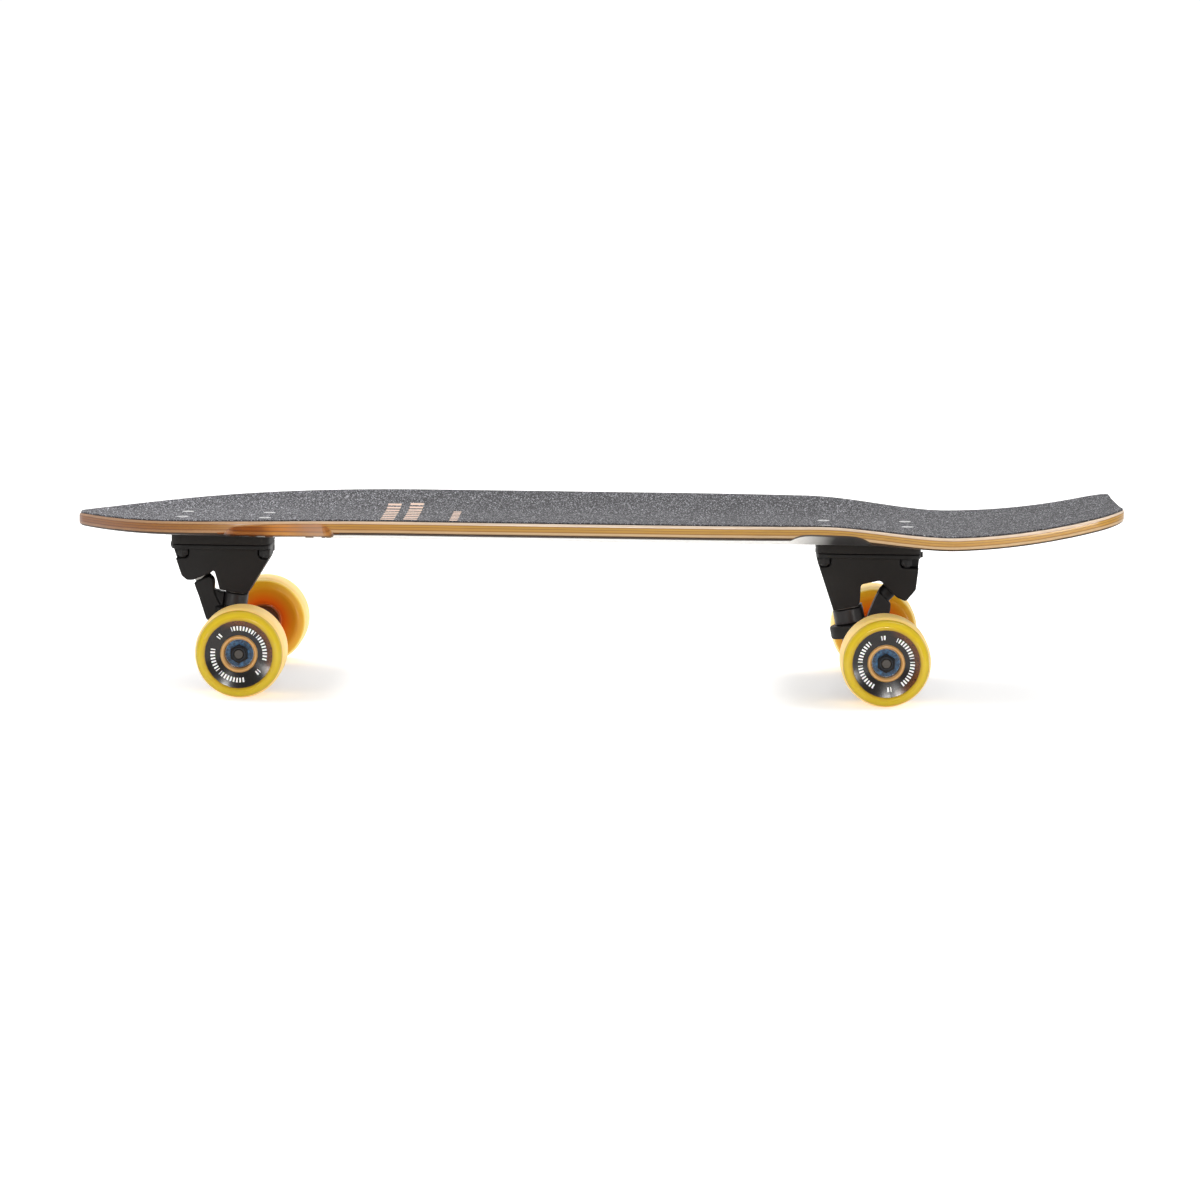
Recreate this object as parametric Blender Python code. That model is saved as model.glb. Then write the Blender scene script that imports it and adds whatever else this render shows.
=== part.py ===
"""Surfskate: a pressed maple deck with grip tape on two steering trucks, with four wheels on ball bearings.

Metres, +Z up. +X runs along the board to the tail, the nose is at -X and the board is symmetric about
y = 0. The origin is on the floor, under the middle of the deck's length. Each truck is built in its own
frame: x = 0 at the middle of its bolt pattern and positive towards the middle of the board, z = 0 at its
mounting face.
"""

import math

import bmesh
import bpy
from mathutils import Vector

# Fits
CONTACT_GAP = 0.0003
RUNNING_GAP = 0.0001

# Deck
DECK_LENGTH = 0.8035
DECK_WIDTH = 0.259
DECK_THICKNESS = 0.0103
WIDEST_FROM_NOSE = 0.4812
NOSE_POWER = 6.77
NOSE_BLUNTNESS = 0.966
NOSE_TIP_RADIUS = 0.018
NOSE_RISE = 0.002
NOSE_RISE_LENGTH = 0.0715
TAIL_TAPER = 0.0528
TAIL_TAPER_POWER = 1.57
TAIL_CORNER_RADIUS = 0.022
TAIL_KICK_RADIUS = 0.515
TAIL_KICK_LENGTH = 0.142
CONCAVE_DEPTH = 0.0104
CONCAVE_RUN_IN = 0.2615
CONCAVE_AT_TAIL = 0.0014
CONCAVE_FADE_START = 0.237
CONCAVE_FADE_END = 0.127
FLAT_SHARE_OF_WIDTH = 0.31
RAIL_ROUNDING = 0.0015
GRIP_THICKNESS = 0.0007
DECK_STATIONS = 36
COLUMNS_BESIDE_FLAT = 4

# Wheel wells in the underside, one pair near each truck
WELL_END_RADIUS = 0.014
WELL_REACH = 0.06
FRONT_WELL = {"from_nose": 0.1655, "length": 0.082, "wood_left": 0.0029, "slope": 19.5}
REAR_WELL = {"from_nose": 0.582, "length": 0.07, "wood_left": 0.0063, "slope": 15.0}

# Bolt pattern and the hardware that goes through it
PATTERN_LENGTH = 0.0635
PATTERN_WIDTH = 0.0413
PATTERN_SPACING = 0.4953
NOSE_TO_PATTERN = 0.11385
BOLT_RADIUS = 0.0025
BOLT_HEAD_RADIUS = 0.0046
BOLT_HEAD_RIM = 0.0003
BOLT_HEAD_PROUD = 0.0002
BOLT_BELOW_NUT = 0.0015
BOLT_NUT_ACROSS_FLATS = 0.008
BOLT_NUT_HEIGHT = 0.005

# Wheels, bearings and axles
WHEEL_RADIUS = 0.034
WHEEL_WIDTH = 0.048
TREAD_WIDTH = 0.0274
WHEEL_SHOULDER = (0.032, 0.003)
WHEEL_FACE_LIP_RADIUS = 0.025
WHEEL_FACE_DEPTH = 0.004
HUB_LIP_RADIUS = 0.0143
HUB_LIP_DEPTH = 0.002
BEARING_RADIUS = 0.011
BEARING_WIDTH = 0.007
BEARING_SPACING = 0.017
HUB_SHOULDER_RADIUS = 0.009
SPACER_RADIUS = 0.005
AXLE_RADIUS = 0.004
AXLE_BEYOND_NUT = 0.0006
AXLE_NUT_ACROSS_FLATS = 0.0127
AXLE_NUT_HEIGHT = 0.0057
SPEED_WASHER_RADIUS = 0.0063
SPEED_WASHER_THICKNESS = 0.0009
TRACK = 0.2072

# What both trucks share
TRUCK_HEIGHT = 0.072
RISER_THICKNESS = 0.009
PLATE_WIDTH = 0.057
PLATE_THICKNESS = 0.0035
PLATE_CORNER_RADIUS = 0.008
LUG_RADIUS = 0.004
LUG_HEIGHT = 0.0043
LUG_PROUD = 0.003
HOUSING_TOP_WIDTH = 0.046
HOUSING_FOOT_WIDTH = 0.034
NUT_POCKET_WIDTH = 0.0104
NUT_POCKET_DEPTH = 0.0077
NUT_POCKET_INNER_WIDTH = 0.028
NUT_POCKET_CORNER = 0.0035
KINGPIN_RADIUS = 0.00475
KINGPIN_HEAD_RADIUS = 0.0078
KINGPIN_HEAD_HEIGHT = 0.0055
KINGPIN_HEAD_BELOW_FACE = 0.0016
KINGPIN_BEYOND_NUT = 0.001
KINGPIN_NUT_ACROSS_FLATS = 0.014
KINGPIN_NUT_HEIGHT = 0.007
KINGPIN_HOLE_IN_RING = 0.0075
RING_CHAMFER = 0.001
BUSHING_WASHER_THICKNESS = 0.0012
LOWER_BUSHING_RADIUS = 0.0085
LOWER_BUSHING_HEIGHT = 0.0075
BUSHING_ROUNDING = 0.0012
ARM_THICKNESS = 0.014
ARM_ANGLE_ON_BAR = 35.0
GUSSET_THICKNESS = 0.006
WEB_WIDTH = 0.026
WEB_ANGLES_ON_BAR = (150.0, 40.0)
OVERLAP_IN_BAR = 0.0007
BAR_END_RADIUS = 0.012
BAR_WAIST_LENGTH = 0.036
BAR_SHOULDER_LENGTH = 0.012
BAR_NOSE_RADIUS = 0.0065
BAR_NOSE_LENGTH = 0.0072
NECK_RADIUS = 0.0063
NECK_IN_ARM = 0.003
PIVOT_PIN_RADIUS = 0.005
PIVOT_CUP_WALL = 0.0015
PIVOT_PIN_LENGTH = 0.0096
SOCKET_CUT_PAST_MOUTH = 0.0075

# Number of sides of the round pieces
FINE_SIDES = 12
PIN_SIDES = 16
BUSHING_SIDES = 20
RING_SIDES = 24
WHEEL_SIDES = 32
HEX_SIDES = 6
CORNER_STEPS = 3
PIVOT_END_STEPS = 4

# What differs. Outline points are (x, z, corner radius) in the truck's frame, and arm points are
# (x, z, radius) from the middle of the ring. The arm's tip is given by its two ends as (along, beside) the
# steering axis. The plate's ends are its x, outboard and inboard. Angles are in degrees: lean is the
# kingpin's from upright, steering the axis's from level.
FRONT = {
    "name": "front",
    "ring_x": 0.0061,
    "ring_drop": 0.056,
    "lean": 8.0,
    "steering": 50.0,
    "ring_radius": 0.016,
    "ring_height": 0.009,
    "upper_bushing_radius": 0.0093,
    "upper_bushing_height": 0.0118,
    "axle_x": 0.0219,
    "bar_radius": 0.0085,
    "cup_mouth": 0.037,
    "socket_face": (0.036, 0.0088),
    "foot_reach": (0.0094, 0.0094),
    "plate_ends": (-0.0404, 0.036),
    "outboard_side": ((-0.0396, -0.0035, 0.0), (-0.0328, -0.025, 0.003), (-0.0272, -0.0299, 0.002)),
    "window": ((-0.0075, -0.0202, 0.001), (-0.0051, -0.0289, 0.0), (-0.0035, -0.036, 0.001)),
    "inboard_side": ((0.034, -0.0124, 0.002), (0.0355, -0.0095, 0.0)),
    "arm_tip": ((0.0364, -0.0073), (0.0335, 0.0048)),
    "arm_upper_side": ((-0.0151, 0.0262, 0.002), (-0.0151, 0.0172, 0.003), (-0.0116, 0.0095, 0.003)),
    "arm_heel": (-0.0193, -0.0066, 0.003),
    "gusset_height": 0.0105,
}
REAR = {
    "name": "rear",
    "ring_x": 0.009,
    "ring_drop": 0.0613,
    "lean": 11.5,
    "steering": 46.0,
    "ring_radius": 0.0165,
    "ring_height": 0.0098,
    "upper_bushing_radius": 0.0118,
    "upper_bushing_height": 0.0118,
    "axle_x": -0.0126,
    "bar_radius": 0.009,
    "cup_mouth": 0.0435,
    "socket_face": (0.043, 0.0088),
    "foot_reach": (0.0075, 0.0115),
    "plate_ends": (-0.0424, 0.0376),
    "outboard_side": (
        (-0.0418, -0.0035, 0.0),
        (-0.0393, -0.028, 0.003),
        (-0.0318, -0.0374, 0.002),
        (-0.0245, -0.034, 0.0),
    ),
    "window": ((-0.012, -0.021, 0.003), (0.0031, -0.0245, 0.002), (0.0035, -0.0385, 0.001)),
    "inboard_side": ((0.0366, -0.0082, 0.001), (0.0372, -0.005, 0.0)),
    "arm_tip": ((0.036, -0.0082), (0.036, 0.005)),
    "arm_upper_side": ((-0.0183, 0.0261, 0.003), (-0.0127, 0.0124, 0.004), (-0.0117, 0.0069, 0.001)),
    "arm_heel": (-0.03, -0.0052, 0.002),
    "gusset_height": 0.0,
}

# Worked out from the sizes above
AXLE_HEIGHT = WHEEL_RADIUS
MOUNT_HEIGHT = AXLE_HEIGHT + TRUCK_HEIGHT
DECK_BOTTOM = MOUNT_HEIGHT + RISER_THICKNESS + 2 * CONTACT_GAP
DECK_TOP = DECK_BOTTOM + DECK_THICKNESS
GRIP_TOP = DECK_TOP + CONTACT_GAP + GRIP_THICKNESS
BOLT_TOP = GRIP_TOP + BOLT_HEAD_PROUD
BEARING_OUTER_FACE = BEARING_SPACING / 2 + BEARING_WIDTH
HANGER_HALF_LENGTH = TRACK / 2 - BEARING_OUTER_FACE - CONTACT_GAP
AXLE_NUT_SEAT = BEARING_OUTER_FACE + CONTACT_GAP + SPEED_WASHER_THICKNESS
AXLE_HALF_LENGTH = TRACK / 2 + AXLE_NUT_SEAT + AXLE_NUT_HEIGHT + AXLE_BEYOND_NUT
AXLE_PIN_RADIUS = AXLE_RADIUS - RUNNING_GAP / 2


def clear_scene():
    for item in list(bpy.data.objects):
        bpy.data.objects.remove(item, do_unlink=True)


def new_material(name, colour, roughness, metallic=0.0):
    made = bpy.data.materials.new(name)
    made.use_nodes = True
    surface = made.node_tree.nodes["Principled BSDF"]
    surface.inputs["Base Color"].default_value = (*colour, 1.0)
    surface.inputs["Roughness"].default_value = roughness
    surface.inputs["Metallic"].default_value = metallic
    made.diffuse_color = (*colour, 1.0)
    return made


def around_corner(before, corner, after, radius):
    """The arc of this radius that touches both sides of a corner, or the corner where the radius is 0."""
    if radius == 0:
        return [corner]
    back = (before - corner).normalized()
    on = (after - corner).normalized()
    half_angle = back.angle(on) / 2
    room = min((before - corner).length, (after - corner).length) / 2
    touch = min(radius / math.tan(half_angle), room)
    centre = corner + (back + on).normalized() * touch / math.cos(half_angle)
    start = corner + back * touch - centre
    end = corner + on * touch - centre
    turn = math.atan2(start.x * end.y - start.y * end.x, start.dot(end))
    side = Vector((-start.y, start.x))
    points = []
    for step in range(CORNER_STEPS + 1):
        angle = turn * step / CORNER_STEPS
        points.append(centre + start * math.cos(angle) + side * math.sin(angle))
    return points


def rounded(corners):
    """A closed outline through (a, b, radius) corners."""
    places = [Vector(corner[:2]) for corner in corners]
    outline = []
    for i, corner in enumerate(corners):
        outline += around_corner(places[i - 1], places[i], places[(i + 1) % len(places)], corner[2])
    return outline


def rounded_rectangle(length, width, radius):
    a, b = length / 2, width / 2
    return rounded([(-a, -b, radius), (a, -b, radius), (a, b, radius), (-a, b, radius)])


def ring_radius_for(clear_radius, sides):
    """The corner radius of a bore with this many sides whose flats stay clear of a round pin."""
    return clear_radius / math.cos(math.pi / sides)


def prism(outline, low, high, along="Y"):
    """A straight block: along Y the outline is in x and z, along Z it is in x and y."""
    shape = bmesh.new()
    if along == "Y":
        corners = [shape.verts.new((a, low, b)) for a, b in outline]
        step = (0.0, high - low, 0.0)
    else:
        corners = [shape.verts.new((a, b, low)) for a, b in outline]
        step = (0.0, 0.0, high - low)
    face = shape.faces.new(corners)
    made = bmesh.ops.extrude_face_region(shape, geom=[face], use_keep_orig=True)["geom"]
    moved = [part for part in made if isinstance(part, bmesh.types.BMVert)]
    bmesh.ops.translate(shape, verts=moved, vec=step)
    bmesh.ops.recalc_face_normals(shape, faces=shape.faces)
    return shape


def turned(profile, sides):
    """A turned solid about z. A profile of (radius, z) is closed into a ring unless it ends on the axis."""
    shape = bmesh.new()
    first = math.pi / sides
    points = [shape.verts.new((r * math.cos(first), r * math.sin(first), z)) for r, z in profile]
    edges = [shape.edges.new(pair) for pair in zip(points, points[1:])]
    if profile[0][0] > 0:
        edges.append(shape.edges.new((points[-1], points[0])))
    bmesh.ops.spin(
        shape,
        geom=points + edges,
        cent=(0, 0, 0),
        axis=(0, 0, 1),
        angle=2 * math.pi,
        steps=sides,
        use_merge=True,
    )
    bmesh.ops.remove_doubles(shape, verts=shape.verts, dist=1e-7)
    bmesh.ops.recalc_face_normals(shape, faces=shape.faces)
    return shape


def lofted(loops):
    """A solid through closed loops of points, with flat ends."""
    shape = bmesh.new()
    rings = [[shape.verts.new(point) for point in loop] for loop in loops]
    for ring, following in zip(rings, rings[1:]):
        for i in range(len(ring)):
            j = (i + 1) % len(ring)
            shape.faces.new((ring[i], ring[j], following[j], following[i]))
    bmesh.ops.triangulate(shape, faces=shape.faces, quad_method="SHORT_EDGE")
    shape.faces.new(rings[0])
    shape.faces.new(rings[-1])
    bmesh.ops.recalc_face_normals(shape, faces=shape.faces)
    return shape


def add(name, shape, material, parent=None, at=(0, 0, 0), turn=(0, 0, 0)):
    mesh = bpy.data.meshes.new(name)
    shape.to_mesh(mesh)
    shape.free()
    mesh.shade_smooth()
    mesh.set_sharp_from_angle(angle=math.radians(30))
    if material:
        mesh.materials.append(material)
    made = bpy.data.objects.new(name, mesh)
    bpy.context.collection.objects.link(made)
    made.parent = parent
    made.location = at
    made.rotation_euler = turn
    return made


def add_tool(name, shape, parent=None, at=(0, 0, 0), turn=(0, 0, 0)):
    """A shape that is only joined to another, or cut from it."""
    tool = add(name, shape, None, parent, at, turn)
    tool.hide_render = True
    tool.display_type = "WIRE"
    return tool


def add_empty(name, parent=None, at=(0, 0, 0), turn=(0, 0, 0)):
    empty = bpy.data.objects.new(name, None)
    bpy.context.collection.objects.link(empty)
    empty.parent = parent
    empty.location = at
    empty.rotation_euler = turn
    return empty


def combine(target, operation, tool):
    modifier = target.modifiers.new(tool.name, "BOOLEAN")
    modifier.operation = operation
    modifier.solver = "EXACT"
    modifier.object = tool


def half_width(x):
    """Half of the deck's width: a power curve round the nose, then a slow taper to a square tail."""
    from_nose = max(x + DECK_LENGTH / 2, CONTACT_GAP)
    to_tail = DECK_LENGTH / 2 - x
    if from_nose < WIDEST_FROM_NOSE:
        body = DECK_WIDTH / 2 * (1 - (1 - from_nose / WIDEST_FROM_NOSE) ** NOSE_POWER) ** NOSE_BLUNTNESS
        tip = math.sqrt(max(0.0, from_nose * (2 * NOSE_TIP_RADIUS - from_nose)))
        return math.hypot(body**2, tip**2) ** 0.5
    past_widest = (from_nose - WIDEST_FROM_NOSE) / (DECK_LENGTH - WIDEST_FROM_NOSE)
    corner = max(0.0, TAIL_CORNER_RADIUS - to_tail)
    rounding = TAIL_CORNER_RADIUS - math.sqrt(TAIL_CORNER_RADIUS**2 - corner**2)
    return DECK_WIDTH / 2 - TAIL_TAPER * past_widest**TAIL_TAPER_POWER - rounding


def concave_at(x):
    """How far the rails stand above the middle of the deck."""
    from_nose = x + DECK_LENGTH / 2
    to_tail = DECK_LENGTH / 2 - x
    run_in = math.sin(math.pi / 2 * min(1.0, from_nose / CONCAVE_RUN_IN))
    fade = (CONCAVE_FADE_START - to_tail) / (CONCAVE_FADE_START - CONCAVE_FADE_END)
    fade = min(1.0, max(0.0, fade))
    return CONCAVE_DEPTH * run_in - (CONCAVE_DEPTH - CONCAVE_AT_TAIL) * fade * fade * (3 - 2 * fade)


def rise_at(x, across):
    """Height over the deck's flat middle at a share of the half width: nose rise, kick and concave."""
    from_nose = x + DECK_LENGTH / 2
    into_kick = max(0.0, TAIL_KICK_LENGTH - (DECK_LENGTH / 2 - x))
    nose = NOSE_RISE * max(0.0, 1 - from_nose / NOSE_RISE_LENGTH) ** 2
    kick = TAIL_KICK_RADIUS - math.sqrt(TAIL_KICK_RADIUS**2 - into_kick**2)
    beside_flat = max(0.0, abs(across) - FLAT_SHARE_OF_WIDTH) / (1 - FLAT_SHARE_OF_WIDTH)
    return nose + kick + concave_at(x) * beside_flat**2


def deck_columns():
    """Shares of the half width where the deck's surface has its points, from side to side."""
    steps = range(COLUMNS_BESIDE_FLAT + 1)
    beside = [FLAT_SHARE_OF_WIDTH + (1 - FLAT_SHARE_OF_WIDTH) * i / COLUMNS_BESIDE_FLAT for i in steps]
    return [-share for share in reversed(beside)] + [0.0] + beside


def deck_stations():
    """Places along the deck, closer together towards the nose and the tail."""
    return [-DECK_LENGTH / 2 * math.cos(math.pi * i / DECK_STATIONS) for i in range(DECK_STATIONS + 1)]


def deck_row(x, height):
    """Points across the deck, parallel to its upper face, and inside its rounded rails."""
    flat = half_width(x) - min(RAIL_ROUNDING, half_width(x) / 2)
    return [(x, flat * share, height + rise_at(x, share)) for share in deck_columns()]


def deck_loop(x):
    side = half_width(x)
    rail = rise_at(x, 1.0)
    upper = DECK_TOP - RAIL_ROUNDING + rail
    lower = DECK_BOTTOM + RAIL_ROUNDING + rail
    right_rail = [(x, side, lower), (x, side, upper)]
    left_rail = [(x, -side, upper), (x, -side, lower)]
    return deck_row(x, DECK_BOTTOM) + right_rail + deck_row(x, DECK_TOP)[::-1] + left_rail


def grip_loop(x):
    return deck_row(x, DECK_TOP + CONTACT_GAP) + deck_row(x, GRIP_TOP)[::-1]


def pattern_middle(truck):
    """Where the middle of a truck's bolt pattern lies along the board."""
    front = NOSE_TO_PATTERN - DECK_LENGTH / 2
    return front if truck is FRONT else front + PATTERN_SPACING


def pattern_corners():
    x, y = PATTERN_LENGTH / 2, PATTERN_WIDTH / 2
    return [(-x, -y), (-x, y), (x, -y), (x, y)]


def bolt_hole_tool():
    """Eight clearance holes with countersinks, cut from everything that the bolts go through."""
    hole = BOLT_RADIUS + CONTACT_GAP
    sink = BOLT_HEAD_RADIUS + CONTACT_GAP
    seat = BOLT_TOP - BOLT_HEAD_RIM - CONTACT_GAP
    above = 2 * BOLT_HEAD_RADIUS
    below = MOUNT_HEIGHT - PLATE_THICKNESS - BOLT_NUT_HEIGHT
    profile = [
        (0, below),
        (hole, below),
        (hole, seat - sink + hole),
        (sink, seat),
        (sink, seat + above),
        (0, seat + above),
    ]
    holes = bmesh.new()
    for truck in (FRONT, REAR):
        for x, y in pattern_corners():
            single = turned(profile, FINE_SIDES)
            bmesh.ops.translate(single, verts=single.verts, vec=(pattern_middle(truck) + x, y, 0))
            scratch = bpy.data.meshes.new("single_hole")
            single.to_mesh(scratch)
            holes.from_mesh(scratch)
            single.free()
            bpy.data.meshes.remove(scratch)
    return add_tool("bolt_holes", holes)


def cut_wheel_wells(deck):
    for place, well in (("front", FRONT_WELL), ("rear", REAR_WELL)):
        x = well["from_nose"] - DECK_LENGTH / 2
        depth = 2 * DECK_THICKNESS
        half = well["length"] / 2
        upper = [(half, 0, WELL_END_RADIUS), (-half, 0, WELL_END_RADIUS)]
        outline = rounded([(-half, -depth, 0), (half, -depth, 0), *upper])
        rail_height = DECK_TOP + rise_at(x, 1.0) - well["wood_left"]
        for name, side in (("left", -1), ("right", 1)):
            tool = add_tool(
                f"{place}_{name}_wheel_well",
                prism(outline, -WELL_REACH, WELL_REACH),
                at=(x, side * half_width(x), rail_height),
                turn=(side * math.radians(well["slope"]), 0, 0),
            )
            combine(deck, "DIFFERENCE", tool)


def make_deck(materials, bolt_holes):
    deck = add("deck", lofted([deck_loop(x) for x in deck_stations()]), materials["maple"])
    cut_wheel_wells(deck)
    combine(deck, "DIFFERENCE", bolt_holes)
    grip = add("grip_tape", lofted([grip_loop(x) for x in deck_stations()]), materials["grip"])
    combine(grip, "DIFFERENCE", bolt_holes)


def make_bolts(truck, frame, materials):
    """Four countersunk bolts down through deck, riser and plate, each with its nut under the plate."""
    top = BOLT_TOP - MOUNT_HEIGHT
    nut_top = -PLATE_THICKNESS - CONTACT_GAP
    nut_bottom = nut_top - BOLT_NUT_HEIGHT
    cone_bottom = top - BOLT_HEAD_RIM - (BOLT_HEAD_RADIUS - BOLT_RADIUS)
    end = nut_bottom - BOLT_BELOW_NUT
    bolt = [
        (0, end),
        (BOLT_RADIUS, end),
        (BOLT_RADIUS, cone_bottom),
        (BOLT_HEAD_RADIUS, top - BOLT_HEAD_RIM),
        (BOLT_HEAD_RADIUS, top),
        (0, top),
    ]
    nut = nut_profile(BOLT_RADIUS, BOLT_NUT_ACROSS_FLATS, nut_bottom, nut_top)
    name, steel = truck["name"], materials["steel"]
    for number, (x, y) in enumerate(pattern_corners(), start=1):
        add(f"{name}_bolt_{number}", turned(bolt, FINE_SIDES), steel, frame, (x, y, 0))
        add(f"{name}_bolt_nut_{number}", turned(nut, HEX_SIDES), steel, frame, (x, y, 0))


def nut_profile(pin_radius, across_flats, low, high):
    bore = ring_radius_for(pin_radius + RUNNING_GAP, HEX_SIDES)
    corner = ring_radius_for(across_flats / 2, HEX_SIDES)
    return [(bore, low), (corner, low), (corner, high), (bore, high)]


class Steering:
    """Places and directions, as (x, z), that a truck's kingpin, ring and steering axis give its pieces."""

    def __init__(self, truck):
        lean = math.radians(truck["lean"])
        angle = math.radians(truck["steering"])
        self.ring = Vector((truck["ring_x"], -truck["ring_drop"]))
        self.up = Vector((math.sin(lean), math.cos(lean)))
        self.across = Vector((math.cos(lean), -math.sin(lean)))
        self.pivot = Vector((-math.cos(angle), math.sin(angle)))
        self.normal = Vector((math.sin(angle), math.cos(angle)))
        self.kingpin_turn = (0, lean, 0)
        self.pivot_turn = (0, angle - math.pi / 2, 0)
        self.axle = Vector((truck["axle_x"], -TRUCK_HEIGHT))
        self.ring_top = truck["ring_height"] / 2
        self.upper_bushing = self.ring_top + CONTACT_GAP
        self.upper_washer = self.upper_bushing + truck["upper_bushing_height"] + CONTACT_GAP
        self.foot = self.upper_washer + BUSHING_WASHER_THICKNESS + CONTACT_GAP
        self.lower_bushing = -self.ring_top - CONTACT_GAP - LOWER_BUSHING_HEIGHT
        self.lower_washer = self.lower_bushing - CONTACT_GAP - BUSHING_WASHER_THICKNESS
        self.kingpin_nut = self.lower_washer - CONTACT_GAP - KINGPIN_NUT_HEIGHT
        self.head_top = (truck["ring_drop"] - KINGPIN_HEAD_BELOW_FACE) / math.cos(lean)
        self.cup_floor = truck["cup_mouth"] + PIVOT_PIN_LENGTH + CONTACT_GAP

    def on_kingpin(self, up, across=0.0):
        return self.ring + self.up * up + self.across * across

    def on_pivot(self, along, beside=0.0):
        return self.ring + self.pivot * along + self.normal * beside

    def ring_place(self):
        return (self.ring.x, 0, self.ring.y)


def housing_outline(truck, steering):
    """Side view of the housing: outboard socket block, window for the arm, and the kingpin's tall foot."""
    inside_plate = -PLATE_THICKNESS / 2
    outboard = truck["outboard_side"][0][0]
    inboard = truck["inboard_side"][-1][0]
    near_window, far_from_window = truck["foot_reach"]
    corners = [(outboard, inside_plate, 0.0), *truck["outboard_side"]]
    corners.append((*steering.on_pivot(*truck["socket_face"]), 0.001))
    corners += truck["window"]
    corners.append((*steering.on_kingpin(steering.foot, -near_window), 0.0))
    corners.append((*steering.on_kingpin(steering.foot, far_from_window), 0.001))
    corners += truck["inboard_side"]
    corners.append((inboard, inside_plate, 0.0))
    return rounded(corners)


def draw_in_sides(shape, top, bottom):
    """Tapers a housing from its full width under the plate to its width at the foot."""
    for corner in shape.verts:
        share = (top - corner.co.z) / (top - bottom)
        width = HOUSING_TOP_WIDTH + (HOUSING_FOOT_WIDTH - HOUSING_TOP_WIDTH) * share
        corner.co.y = math.copysign(width / 2, corner.co.y)


def nut_pocket_outline(end):
    """A pocket round the bolt nuts at one end of the housing: its inner corner is round, its end open."""
    inner = end * (PATTERN_LENGTH - NUT_POCKET_WIDTH) / 2
    outer = end * PATTERN_LENGTH
    bottom = -PLATE_THICKNESS - NUT_POCKET_DEPTH
    return rounded([(inner, 0, 0), (inner, bottom, NUT_POCKET_CORNER), (outer, bottom, 0), (outer, 0, 0)])


def make_baseplate(truck, steering, frame, materials, bolt_holes):
    """The housing under its flange, with a lug at the outboard end, and the riser above it."""
    name = truck["name"]
    outline = housing_outline(truck, steering)
    housing = prism(outline, -1.0, 1.0)
    lowest = min(point.y for point in outline)
    draw_in_sides(housing, -PLATE_THICKNESS / 2, lowest)
    plate = add(f"{name}_baseplate", housing, materials["black_alloy"], frame)
    for end in (-1, 1):
        for side in (-1, 1):
            near, far = sorted((side * NUT_POCKET_INNER_WIDTH / 2, side * HOUSING_TOP_WIDTH))
            pocket = prism(nut_pocket_outline(end), near, far)
            combine(plate, "DIFFERENCE", add_tool(f"{name}_nut_pocket_{end}_{side}", pocket, frame))
    outboard, inboard = truck["plate_ends"]
    middle = Vector(((outboard + inboard) / 2, 0))
    rectangle = rounded_rectangle(inboard - outboard, PLATE_WIDTH, PLATE_CORNER_RADIUS)
    footprint = [corner + middle for corner in rectangle]
    flange = prism(footprint, -PLATE_THICKNESS, 0, "Z")
    combine(plate, "UNION", add_tool(f"{name}_flange", flange, frame))
    lug_x = outboard - LUG_PROUD + LUG_RADIUS
    lug_low, lug_high = -CONTACT_GAP - LUG_HEIGHT, -CONTACT_GAP
    lug = turned([(0, lug_low), (LUG_RADIUS, lug_low), (LUG_RADIUS, lug_high), (0, lug_high)], FINE_SIDES)
    combine(plate, "UNION", add_tool(f"{name}_lug", lug, frame, (lug_x, 0, 0)))
    combine(plate, "DIFFERENCE", kingpin_bore_tool(truck, steering, frame))
    combine(plate, "DIFFERENCE", socket_tool(truck, steering, frame))
    combine(plate, "DIFFERENCE", bolt_holes)
    riser_shape = prism(footprint, CONTACT_GAP, CONTACT_GAP + RISER_THICKNESS, "Z")
    riser = add(f"{name}_riser", riser_shape, materials["black_rubber"], frame)
    combine(riser, "DIFFERENCE", bolt_holes)


def kingpin_bore_tool(truck, steering, frame):
    """The kingpin's bore through the tall foot, with a recess for its head in the mounting face."""
    bore = ring_radius_for(KINGPIN_RADIUS + RUNNING_GAP, PIN_SIDES)
    recess = ring_radius_for(KINGPIN_HEAD_RADIUS + CONTACT_GAP, PIN_SIDES)
    seat = steering.head_top - KINGPIN_HEAD_HEIGHT - CONTACT_GAP
    below = steering.foot - PLATE_THICKNESS
    above = steering.head_top + PLATE_THICKNESS
    profile = [(0, below), (bore, below), (bore, seat), (recess, seat), (recess, above), (0, above)]
    shape = turned(profile, PIN_SIDES)
    name = f"{truck['name']}_kingpin_bore"
    return add_tool(name, shape, frame, steering.ring_place(), steering.kingpin_turn)


def socket_tool(truck, steering, frame):
    """The blind socket that the pivot cup is pressed into."""
    wall = PIVOT_CUP_WALL + CONTACT_GAP / 2
    radius = ring_radius_for(PIVOT_PIN_RADIUS + RUNNING_GAP + wall, PIN_SIDES)
    start = truck["cup_mouth"] - SOCKET_CUT_PAST_MOUTH
    end = steering.cup_floor + PIVOT_CUP_WALL + CONTACT_GAP
    shape = turned([(0, start), (radius, start), (radius, end), (0, end)], PIN_SIDES)
    name = f"{truck['name']}_socket"
    return add_tool(name, shape, frame, steering.ring_place(), steering.pivot_turn)


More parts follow.
